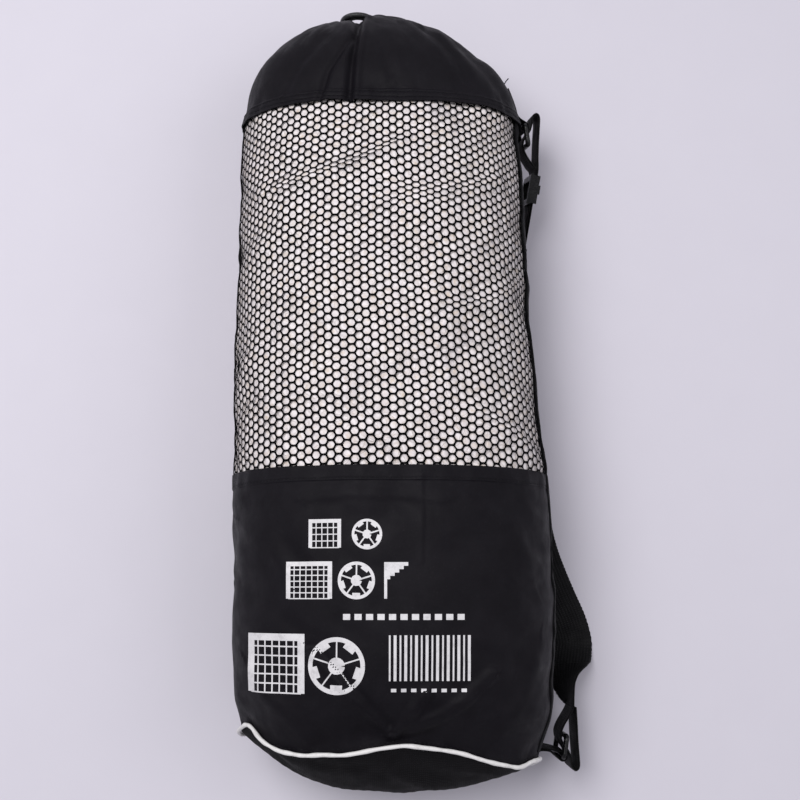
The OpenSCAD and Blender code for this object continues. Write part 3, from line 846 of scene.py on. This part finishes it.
def gathered_hem():
    """The drawn hem: a fat ring of bunched cloth round the closed mouth."""
    around, across = 200, 44
    a = np.linspace(0, TURN, around, endpoint=False)[:, None]
    b = np.linspace(0, TURN, across, endpoint=False)[None, :]
    pleat = np.abs(np.sin(13 * a + 0.8 * np.sin(3 * a) + 0.5 * np.sin(b))) - 0.5
    fine = np.sin(31 * a + 2 * np.sin(b + a))
    r = 8.6 + 1.5 * pleat + 0.35 * fine + 0.4 * np.sin(2 * b + 5 * a)
    front = np.cos(b - np.pi / 2) > 0.55
    stitch = -0.5 * front * (np.abs(np.cos(b - np.pi / 2) - 0.8) < 0.06)
    r = np.clip(r + stitch, 5.5, 10.6)
    ring = 13.5 + r * np.cos(b)
    p = np.stack([MOUTH[0] + ring * np.cos(a), MOUTH[1] + r * np.sin(b) + 0 * a,
                  MOUTH[2] + ring * np.sin(a)], -1)
    eyelet_x, eyelet_z, front_y, seat_y, bore_y = -41.65, 66, 334, 339.6, 335.6
    hole = np.hypot(p[..., 0] - eyelet_x, p[..., 2] - eyelet_z)
    near = smooth_step((10.0 - hole) / 4) * (p[..., 1] > front_y)
    p[..., 1] = p[..., 1] * (1 - near) + seat_y * near
    p[..., 1] = np.where((hole < 5.4) & (p[..., 1] > front_y), bore_y, p[..., 1])
    faces = grid_faces(around, across, True)[:, ::-1].tolist()
    last = (around - 1) * across
    faces += [[last + i, i, (i + 1) % across, last + (i + 1) % across] for i in range(across)]
    uv = np.stack(np.broadcast_arrays(a * 20, b * 9), -1).reshape(-1, 2)
    link("mouth_hem", p.reshape(-1, 3), faces, "bag", NYLON, uv,
         hides=["drawcord_channel"])


def base_ring(g, t):
    """The base at a share g of its radius."""
    p = section(BASE_Y, t, 0.0)
    b = -298 + (p[..., 1] + 298) * g ** 3
    return np.stack([-4 + g * (p[..., 0] + 4), b - 26 * (1 - g * g), 66 + g * (p[..., 2] - 66)], -1)


def base_cap():
    """The round base: ribbed cloth that bulges between its puckered edge and the floor."""
    cols = 360
    t = angle_at(runs_round(cols))[None, :]
    g = (np.linspace(1, 0.02, 90) ** 0.8)[:, None]
    p = base_ring(g, t)
    edge = np.exp(-(1 - g) / 0.10)
    rib = 0.12 * np.cos(p[..., 0] * TURN / 8.2)
    lumps = 1.5 * noise(p, 34.0, 81) - 0.6 + 0.9 * noise(p, 14.0, 82) * edge
    p[..., 1] -= (rib + lumps) * np.minimum(1, (1 - g) * 8)
    p[..., 2] = np.maximum(p[..., 2], 0.6)
    verts = p.reshape(-1, 3)
    size = len(verts)
    outer = grid_faces(len(g), cols, True)
    rim = np.arange(cols)
    nxt = (rim + 1) % cols
    faces = outer.tolist() + (outer[:, ::-1] + size).tolist()
    faces += np.stack([nxt, rim, rim + size, nxt + size], 1).tolist()
    last = (len(g) - 1) * cols
    faces += [(last + rim).tolist(), (last + rim + size)[::-1].tolist()]
    flat = verts[:, [0, 2]]
    link("base_cloth_cap", np.concatenate([verts, verts + arr(0, CLOTH, 0)]), faces, "bag",
         BASE_CLOTH, np.concatenate([flat, flat]), hides=["base_panel"])


def piping_loop():
    """The off-white piping, a slightly uneven cord in the base seam."""
    t = angle_at(runs_round(460))
    p = section(BASE_Y + 1.2, t, -1.9)
    wobble = 0.5 * np.stack([np.sin(9 * t + 1), np.sin(7 * t) + 0.6 * np.sin(17 * t),
                             np.cos(8 * t)], -1)
    p = p + wobble * arr(0.35, 1.1, 0.35) * above(p, 6, 20)[:, None]
    p[:, 2] = np.maximum(p[:, 2], 2.0)
    radius = 1.65 + 0.14 * np.sin(23 * t) + 0.1 * np.sin(57 * t)
    verts, faces, uv = tube_mesh(p, radius, 14, True)
    link("piping_cord", verts, faces, "bag", PIPING, uv, hides=["base_piping"])


def seam_ground(y, t):
    """The cloth under the seam tapes."""
    return body_point(y, t, 0.0, LOWER_FOLDS + MESH_FOLDS, 0.8)


def seam_tapes():
    """Raised tape over each side seam, with its wavy edges."""
    parts = []
    y = np.linspace(-302, 248, 260)[:, None]
    k = np.linspace(0, 1, 13)[None, :]
    for low, high, phase in ((4.0, 14.0, 0), (184.0, 194.0, 1)):
        wave = 0.012 * np.sin(y / 17 + phase) + 0.006 * np.sin(y / 5.3)
        t = np.radians(low + (high - low) * k) + wave
        profile = 0.55 + 0.55 * np.sin(np.pi * k) ** 0.5 - 0.5 * np.exp(-((k - 0.5) / 0.06) ** 2)
        ripple = 0.35 * np.sin(y / 2.9 + 3 * k) * np.exp(-np.minimum(k, 1 - k) / 0.12)
        top = lifted(seam_ground, y + 0 * k, t, profile + ripple + 0.5)
        under = lifted(seam_ground, y + 0 * k, t, np.full(t.shape, -0.6))
        parts.append((np.concatenate([top.reshape(-1, 3), under.reshape(-1, 3)]),
                      shell_faces(*t.shape, False).tolist()))
    verts, faces = join(parts)
    link("side_seam_tapes", verts, faces, "bag", TAPE, verts[:, [2, 1]],
         hides=["side_seam_binding"])


lower_obj = lower_panel()
top_collar()
gathered_hem()
base_cap()
piping_loop()
seam_tapes()

# ---------------------------------------------------------------- stitches


def stitches(name, lines, long=2.7, gap=1.0, radius=0.27):
    """Rows of short thread stitches on the bag along lines of points."""
    parts = []
    for line in lines:
        path = resample(line, 0.45)
        run = distances(path)
        for start in np.arange(0, run[-1] - long, long + gap):
            s = start + long * np.linspace(0, 1, 5)
            piece = np.stack([np.interp(s, run, path[:, k]) for k in range(3)], 1)
            swell = radius * np.array([0.35, 0.95, 1.0, 0.95, 0.35])
            v, f, _ = tube_mesh(piece, swell, 6)
            parts.append((v, f))
    verts, faces = join(parts)
    link(name, verts, faces, "bag", THREAD)


ALL_ROUND = np.append(angle_at(runs_round(400)), TURN)


def ring_line(surface, a, lift):
    """A line round a surface at a, raised a little, without the part that rests on the floor."""
    keep = ALL_ROUND[np.sin(ALL_ROUND) > -0.35]
    keep = np.sort(np.where(keep > np.pi * 1.5, keep - TURN, keep))
    return lifted(surface, np.full(keep.shape, a), np.mod(keep, TURN), np.full(keep.shape, lift),
                  0.02)


stitches("lower_hem_stitches", [ring_line(lower_surface, HEM_STITCH, 0.12)])
stitches("collar_stitches", [ring_line(collar_surface, v, 0.12) for v in COLLAR_STITCHES])
base_line = ring_line(lower_surface, BASE_STITCH, 0.15)
base_line[:, 1] += 0.7 * np.sin(base_line[:, 0] / 4.3)
stitches("piping_stitches", [base_line], 2.4, 1.2, 0.3)


def loose_thread():
    """A thread end left sticking out of the collar."""
    path = [(97, 275, 82), (100, 280, 88), (101, 285, 91), (103, 290, 91), (106, 294, 90)]
    verts, faces, _ = tube_mesh(resample(path, 0.8), 0.5, 6)
    link("loose_thread", verts, faces, "bag", THREAD)


loose_thread()

# ---------------------------------------------------------------- print

PRINT_LIFT = 0.00012
lower_tree = BVHTree.FromPolygons([v.co.copy() for v in lower_obj.data.vertices],
                                  [p.vertices[:] for p in lower_obj.data.polygons])


def print_strip(points, width):
    """A printed line on the lower panel: a thin strip that follows the cloth."""
    path = flat_path(points)[:, :2]
    d = unit(np.gradient(path, axis=0))
    side = np.stack([-d[:, 1], d[:, 0]], 1)
    rows = []
    for k in np.linspace(-0.5, 0.5, max(2, int(width / 1.2) + 1)):
        row = []
        for x, y in path + side * k * width:
            over = Vector((x * MM, y * MM, 0.4))
            hit, normal, _, _ = lower_tree.ray_cast(over, Vector((0, 0, -1)))
            row.append(np.array(hit + normal * PRINT_LIFT) / MM)
        rows.append(row)
    p = np.array(rows)
    n, m = p.shape[:2]
    quad = grid_faces(n, m, False)
    verts = np.concatenate([p.reshape(-1, 3), p.reshape(-1, 3) - arr(0, 0, 0.2)])
    faces = quad.tolist() + (quad[:, ::-1] + n * m).tolist()
    return verts, faces


def bar(a, b, width):
    """A straight line of the print, from a to b."""
    return np.linspace(a, b, 4), width


def circle(x, y, r, width):
    """A round line of the print."""
    a = np.linspace(0, TURN, 37)
    return np.stack([x + r * np.cos(a), y + r * np.sin(a)], 1), width


def flag(x, y, high):
    """A corner flag: a pole and a pointed flag made of strips."""
    strips = [bar((x, y), (x, y + high), 2.2)]
    for k in range(5):
        level = y + high - 1.3 - 2.5 * k
        strips.append(bar((x, level), (x + 17 - 3.4 * k, level), 2.7))
    return strips


def goal(x, y, wide, high, width, cells):
    """A goal seen from the front: two posts, a bar and a net, with its foot at y."""
    left, right, top = x - wide / 2, x + wide / 2, y + high
    strips = [bar((left, y), (left, top), width), bar((right, y), (right, top), width),
              bar((left - width / 2, top), (right + width / 2, top), width)]
    thin = max(0.8, width / 5)
    strips += [bar((k, top), (k, y), thin) for k in np.linspace(left, right, cells + 1)[1:-1]]
    strips += [bar((left, k), (right, k), thin) for k in np.linspace(y, top, cells)[:-1]]
    return strips


def ball(x, y, r, width):
    """A ball: a ring with a middle patch, seams and patches at its rim."""
    strips = [circle(x, y, r - width / 2, width), circle(x, y, 0.15 * r, 0.3 * r)]
    for a in np.arange(5) * TURN / 5 + 0.3:
        way, patch = (arr(np.cos(b), np.sin(b)) for b in (a, a + TURN / 10))
        strips.append(bar((x, y) + way * 0.28 * r, (x, y) + way * (r - width),
                          max(1.1, width * 0.3)))
        strips.append(bar((x, y) + patch * 0.66 * r, (x, y) + patch * (r - 0.7 * width), 0.42 * r))
    return strips


def printed_picture():
    """Plain pictures of goals and balls, a dashed line and even bars, where the bag is printed."""
    strips = goal(-54, -129, 22, 20, 2.8, 5) + ball(-22, -119, 11.5, 2.0)
    strips += goal(-66, -167, 32, 26, 3.4, 7) + ball(-30, -153.5, 14, 2.4)
    strips += flag(-8, -167, 27)
    strips += [bar((x, -180.5), (x + 5.4, -180.5), 4.4) for x in np.arange(-40, 52, 8.6)]
    strips += goal(-92, -238, 40, 42, 5.4, 7) + ball(-45, -217, 21.5, 3.4)
    strips += [bar((x, -194), (x, -228), 2.2 if k % 2 else 1.3)
               for k, x in enumerate(np.arange(-5, 57, 4.0))]
    strips += [bar((x, -235), (x + 4, -235), 2.6) for x in np.arange(-4, 54, 7.6)]
    verts, faces = join([print_strip(points, width) for points, width in strips])
    link("printed_picture", verts, faces, "bag", PRINT)


printed_picture()

# ---------------------------------------------------------------- cords


def braid_relief(strands=8, pitch=5.0):
    """The relief of a braid: two crossing sets of strands."""
    def relief(angle, run):
        a = np.abs(np.cos(0.5 * (strands * angle + run * TURN / pitch * 2)))
        b = np.abs(np.cos(0.5 * (strands * angle - run * TURN / pitch * 2)))
        return 0.90 + 0.10 * np.maximum(a, b)
    return relief


EXIT_X = (-44.0, -39.3)
EXIT_Z, CORD_Y, CORD_R = 66.0, 354.0, 2.25
ARCH = (-30.0, 80.0)
COIL = (6.0, 340.0)
COIL_END = 480.0
COIL_MID = 24.35
KNOT_ANGLE, KNOT_R = 493.0, 5.2


def strand_path(x0, r, coil_r):
    """One strand: out of the eyelet, over the arch, down through the lock, round into the knot."""
    points = [(x0, 336, EXIT_Z), (x0, 343, EXIT_Z), (x0, 349, 68), (x0, 353, 73)]
    for t in np.radians(np.arange(180, -1, -30)):
        points.append((ARCH[0] + r * np.cos(t), CORD_Y, ARCH[1] + r * np.sin(t)))
    x = ARCH[0] + r
    points += [(x, CORD_Y, z) for z in (68, 56, 44, 32, 20)]
    points += [(x, 352.5, 12), (x, 348, 5.5)]
    floor = 2.4
    for t in np.radians(np.arange(180, COIL_END + 1, 15)):
        points.append((COIL[0] + coil_r * np.cos(t), COIL[1] + coil_r * np.sin(t), floor))
    t = np.radians(KNOT_ANGLE - 6)
    mid = COIL_MID + (coil_r - COIL_MID) * 0.45
    points.append((COIL[0] + mid * np.cos(t), COIL[1] + mid * np.sin(t), 4.0))
    return resample(points, 0.7)


def make_cords():
    """The two strands and the knot that joins them, a trefoil of the same cord."""
    t = np.radians(KNOT_ANGLE)
    centre = arr(COIL[0] + COIL_MID * np.cos(t), COIL[1] + COIL_MID * np.sin(t), KNOT_R)
    a = np.linspace(0, TURN, 150, endpoint=False)
    loop = np.stack([np.sin(a) + 2 * np.sin(2 * a), np.cos(a) - 2 * np.cos(2 * a),
                     -1.1 * np.sin(3 * a)], 1)
    verts, faces, uv = tube_mesh(centre + loop * 1.06, 2.0, 14, True, braid_relief(6, 4.6))
    verts[:, 2] = np.maximum(verts[:, 2], 0.1)
    knot = link("end_knot", verts, faces, "bag", BRAID, uv, hides=["cord_knot"])
    for name, x0, r, coil_r, hides, pieces in (
            ("drawcord_a", EXIT_X[0], 14.0, 22.0, ["cord_strand_a", "cord_coil"], [knot]),
            ("drawcord_b", EXIT_X[1], 9.3, 26.7, ["cord_strand_b"], [])):
        path = strand_path(x0, r, coil_r)
        verts, faces, uv = tube_mesh(path, CORD_R, 18, False, braid_relief())
        obj = link(name, verts, faces, "bag", BRAID, uv, hides=hides)


make_cords()

# ---------------------------------------------------------------- webbing

WEB_W, WEB_T = 38.0, 1.6


def webbing_mesh(centre, wide, thin):
    """A strip of webbing from its middle line, the way across it and the way through it."""
    k = np.linspace(-1, 1, 21)
    edge = np.sqrt(np.maximum(0, 1 - (np.abs(k) - 0.955) ** 2 / 0.045 ** 2 * (np.abs(k) > 0.955)))
    half = WEB_T / 2 * (0.30 + 0.70 * edge)
    ribbed = half + 0.06 * np.cos(k * WEB_W / 2 * TURN / 2.7)
    profile = np.concatenate([np.stack([k, ribbed], 1), np.stack([k, -ribbed], 1)[::-1]])
    run = distances(centre)
    scallop = 1 + 0.012 * np.cos(run * TURN / 3.2) - 0.006
    across = profile[None, :, 0] * (WEB_W / 2 - 0.1) * np.where(
        np.abs(profile[:, 0]) > 0.9, scallop[:, None], 1.0)
    ring = (centre[:, None] + wide[:, None] * across[..., None]
            + thin[:, None] * profile[None, :, 1, None])
    n, m = ring.shape[:2]
    uv = np.stack(np.broadcast_arrays(across, run[:, None]), -1).reshape(-1, 2)
    faces = grid_faces(n, m, True).tolist()
    last = (n - 1) * m
    for c in range(m // 2 - 1):
        d = m - 1 - c
        faces.append([c + 1, c, d, d - 1])
        faces.append([last + c, last + c + 1, last + d - 1, last + d])
    return ring.reshape(-1, 3), faces, uv


def turned(verts, faces):
    """Faces the other way round if the solid is inside out."""
    v = np.asarray(verts)
    volume = 0.0
    for f in faces:
        a = v[f[0]]
        for i in range(1, len(f) - 1):
            volume += a @ np.cross(v[f[i]], v[f[i + 1]])
    return faces if volume > 0 else [f[::-1] for f in faces]


UPPER_AT, UPPER_TILT = arr(121, 258, 62), np.radians(15)
LOWER_AT = arr(143, -298, 37)


def upper_frame(p):
    """From the upper strap end's own frame, about its ring's bar, to the bag's."""
    x, y, z = p[..., 0], p[..., 1], p[..., 2]
    c, s = np.cos(UPPER_TILT), np.sin(UPPER_TILT)
    return np.stack([x, y * c - z * s, y * s + z * c], -1) + UPPER_AT


def lower_frame(p):
    """The same for the lower strap end."""
    return p * arr(1, -1, 1) + LOWER_AT


def ribbon(name, path, place, hides):
    """A strip along a path in the XY plane of a strap end's own frame."""
    flat = flat_path(path)
    d = unit(np.gradient(flat, axis=0))
    thin = np.stack([-d[:, 1], d[:, 0], 0 * d[:, 0]], 1)
    wide = np.broadcast_to(arr(0, 0, 1), flat.shape)
    verts, faces, uv = webbing_mesh(flat, wide, thin)
    verts = place(verts)
    link(name, verts, turned(verts, faces), "bag", WEBBING, uv, hides=hides)


GLIDE_AT, GLIDE_TILT = arr(9, -57), np.radians(9)
ALONG = arr(np.sin(GLIDE_TILT), np.cos(GLIDE_TILT))
OUTWARD = arr(np.cos(GLIDE_TILT), -np.sin(GLIDE_TILT))


def on_leg(s, side):
    """A point along the doubled strap through the adjuster, to one side of its middle."""
    return tuple(GLIDE_AT + s * ALONG + side * OUTWARD)


# The strap round its ring's bar
BIGHT = [(6.5, -33), (2, -26), (-0.7, -20), (-1.1, -16), (-0.2, -12), (2.4, -8), (5, -4), (6.6, 1),
         (7.0, 6), (8.2, 9.6), (10.6, 11.2), (12.8, 9.6), (13.6, 6), (13.4, 0), (12.8, -14), (12.6, -28)]


def straight_leg(s0, s1, side):
    """Points along one leg of the doubled strap."""
    return [on_leg(s, side) for s in np.linspace(s0, s1, 6)]


def doubled_tab(spine, eye):
    """A tab's path: out along one face of its spine, round the ring's bar, and back along the other."""
    spine = np.asarray(spine, float)
    d = unit(np.gradient(spine, axis=0))
    side = np.stack([-d[:, 1], d[:, 0]], 1) * 0.86
    lead = np.arctan2(spine[1, 1], spine[1, 0])
    arc = lead + np.radians(np.linspace(62, 298, 11))
    turn = np.stack([eye * np.cos(arc), eye * np.sin(arc)], 1)
    return np.concatenate([(spine + side)[:0:-1], turn, (spine - side)[1:]])


def strap_ends():
    """The strap's loops through its rings, the tabs that hold the rings, and the sewn tail."""
    loop = straight_leg(-72, 17, -1) + BIGHT + straight_leg(17, -65, 1)
    loop += [on_leg(*at) for at in ((-66.3, 1.3), (-66.3, 2.3), (-65, 2.65), (-60, 2.65),
                                    (-54, 2.62))]
    ribbon("upper_strap_loop", loop, upper_frame, ["strap_upper_loop", "strap_tail_hem"])
    ribbon("lower_strap_loop", [(10.4, -40.6), (9.2, -37.6)] + BIGHT + [(12.2, -40)], lower_frame,
           ["strap_lower_loop"])
    upper = [(0, 0), (-6.5, 8), (-9.6, 17), (-12.6, 25), (-16, 33)]
    ribbon("upper_tab_web", doubled_tab(upper, 3.42), upper_frame, ["upper_tab"])
    lower = [(0, 0), (-10, -5), (-20, -6), (-30, -6), (-36.5, -7)]
    ribbon("lower_tab_web", doubled_tab(lower, 3.42), lower_frame, ["lower_tab"])
    tail = [np.array([(*on_leg(s, 3.52), z) for z in np.linspace(-16.5, 16.5, 12)])
            for s in (-56, -64)]
    stitches("tail_stitches", [upper_frame(line) for line in tail], 2.4, 0.8, 0.25)


# The strap down the bag's side: x, y, z of its middle line, and its twist in degrees
UPPER_RUN = [(117.75, 134.4, 28.9, 0), (116.9, 128.4, 27.3, 0), (117.4, 100, 25, 3), (118.5, 60, 24, 10),
             (119.5, 20, 21, 25), (121.5, -20, 16, 45), (124, -50, 9.8, 68)]
MID_RUN = [(126, -70, 5.5, 80), (127.5, -90, 3, 86), (130.5, -110, 1.8, 90), (135.5, -130, 1.4, 90),
           (142.5, -150, 1.3, 90), (150.5, -170, 1.3, 90), (158, -188, 1.3, 90), (162, -204, 1.6, 90),
           (161, -214, 4.8, 80)]
LOWER_RUN = [(158.3, -224.5, 11.7, 61), (156.6, -232, 19.2, 42), (155.2, -238.5, 26.5, 24),
             (154.3, -245, 32.8, 8), (153.8, -251, 36.6, 0), (153.4, -257.6, 37, 0)]


def strap_run():
    """The strap down the bag's side in three pieces that join without a gap."""
    run = resample(UPPER_RUN + MID_RUN + LOWER_RUN, 1.6)
    centre, twist = run[:, :3], np.radians(run[:, 3])[:, None]
    d = unit(np.gradient(centre, axis=0))
    side = unit(np.cross(arr(0, 0, 1), d))
    up = unit(arr(0, 0, 1) - d[:, 2:3] * d)
    wide = np.cos(twist) * up + np.sin(twist) * side
    thin = unit(np.cross(d, wide))
    dip = wide[:, 2:3] * WEB_W / 2
    low = centre[:, 2:3] - np.abs(dip) - np.abs(thin[:, 2:3]) * 0.95
    centre = centre + np.maximum(0, 0.15 - low) * arr(0, 0, 1)
    first = int(np.argmin(np.abs(centre[:, 1] + 70)))
    bottom = np.where(centre[:, 1] < -150)[0]
    second = int(bottom[np.argmin(np.abs(centre[bottom, 1] + 224))])
    pieces = (("strap_run_upper", 0, first, "strap_upper_run"),
              ("strap_slack", first, second, "shoulder_strap"),
              ("strap_run_lower", second, len(centre) - 1, "strap_lower_run"))
    for name, a, b, node in pieces:
        part = slice(a, b + 1)
        verts, faces, uv = webbing_mesh(centre[part], wide[part], thin[part])
        faces = turned(verts, faces)
        body = "strap" if name == "strap_slack" else None
        obj = link(name, verts, faces, body, WEBBING, uv, hides=[node])
        if name == "strap_run_upper":
            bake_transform(obj)
        if name == "strap_run_lower":
            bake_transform(obj)


strap_ends()
strap_run()

# ---------------------------------------------------------------- hardware


def paint(node, material):
    """Gives a node of the CAD model its material."""
    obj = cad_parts[node]
    if not obj.material_slots:
        obj.data.materials.append(material)
    for slot in obj.material_slots:
        slot.material = material


for part in ("upper_ring", "lower_ring", "strap_adjuster", "cord_eyelet", "cord_lock_barrel",
             "cord_lock_button"):
    paint(part, PLASTIC)
paint("channel_cord", BRAID)

LOCK = arr(-18.35, 354, 52)


def lock_spring():
    """The button's spring, a coil of steel wire."""
    a = np.linspace(0, TURN * 3, 150)
    x = np.linspace(-11.2, -7.9, 150)
    path = LOCK + np.stack([x, 3.1 * np.cos(a), 3.1 * np.sin(a)], 1)
    verts, faces, uv = tube_mesh(path, 0.32, 10)
    coil = link("lock_spring_coil", verts, faces, "cord_lock", STEEL, uv,
                hides=["cord_lock_spring"])
    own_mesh(coil)


def lock_ribs():
    """Grip ribs moulded round the two ends of the barrel."""
    parts = []
    a = np.linspace(0, TURN, 49)[:-1]
    for x in (-11.6, -9.2, -6.8, 7.2, 9.6, 12.0):
        ring = LOCK + np.stack([0 * a + x, 7.45 * np.cos(a), 7.45 * np.sin(a)], 1)
        v, f, _ = tube_mesh(ring, 0.42, 10, True)
        parts.append((v, f))
    verts, faces = join(parts)
    link("lock_barrel_ribs", verts, faces, "cord_lock", PLASTIC)


lock_spring()
lock_ribs()

# ---------------------------------------------------------------- floor and light


def make_stage():
    """The floor."""
    mesh = bpy.data.meshes.new("floor")
    mesh.from_pydata([(-4, -4, 0), (4, -4, 0), (4, 4, 0), (-4, 4, 0)], [], [(0, 1, 2, 3)])
    mesh.materials.append(floor_material())
    floor = bpy.data.objects.new("floor", mesh)
    bpy.context.collection.objects.link(floor)


def area_light(name, place, target, size, power, colour):
    """A square lamp that faces its target."""
    data = bpy.data.lights.new(name, "AREA")
    data.size = size
    data.energy = power
    data.color = colour
    light = bpy.data.objects.new(name, data)
    bpy.context.collection.objects.link(light)
    light.location = place
    light.rotation_euler = (Vector(target) - Vector(place)).to_track_quat("-Z", "Y").to_euler()


def make_light():
    """A soft key from the left, a weaker fill from the right, and an even surround."""
    area_light("key", (-0.65, 0.35, 1.75), (-0.05, 0, 0.05), 1.0, 26, (1.0, 0.99, 1.0))
    area_light("fill", (1.3, 0.1, 1.5), (0, 0, 0.05), 1.4, 8, (0.98, 0.97, 1.0))
    world = bpy.data.worlds.new("studio")
    world.use_nodes = True
    back = world.node_tree.nodes["Background"]
    back.inputs["Color"].default_value = (0.88, 0.87, 0.94, 1)
    back.inputs["Strength"].default_value = 0.45
    bpy.context.scene.world = world


make_stage()
make_light()
bpy.context.scene.view_settings.view_transform = "Standard"
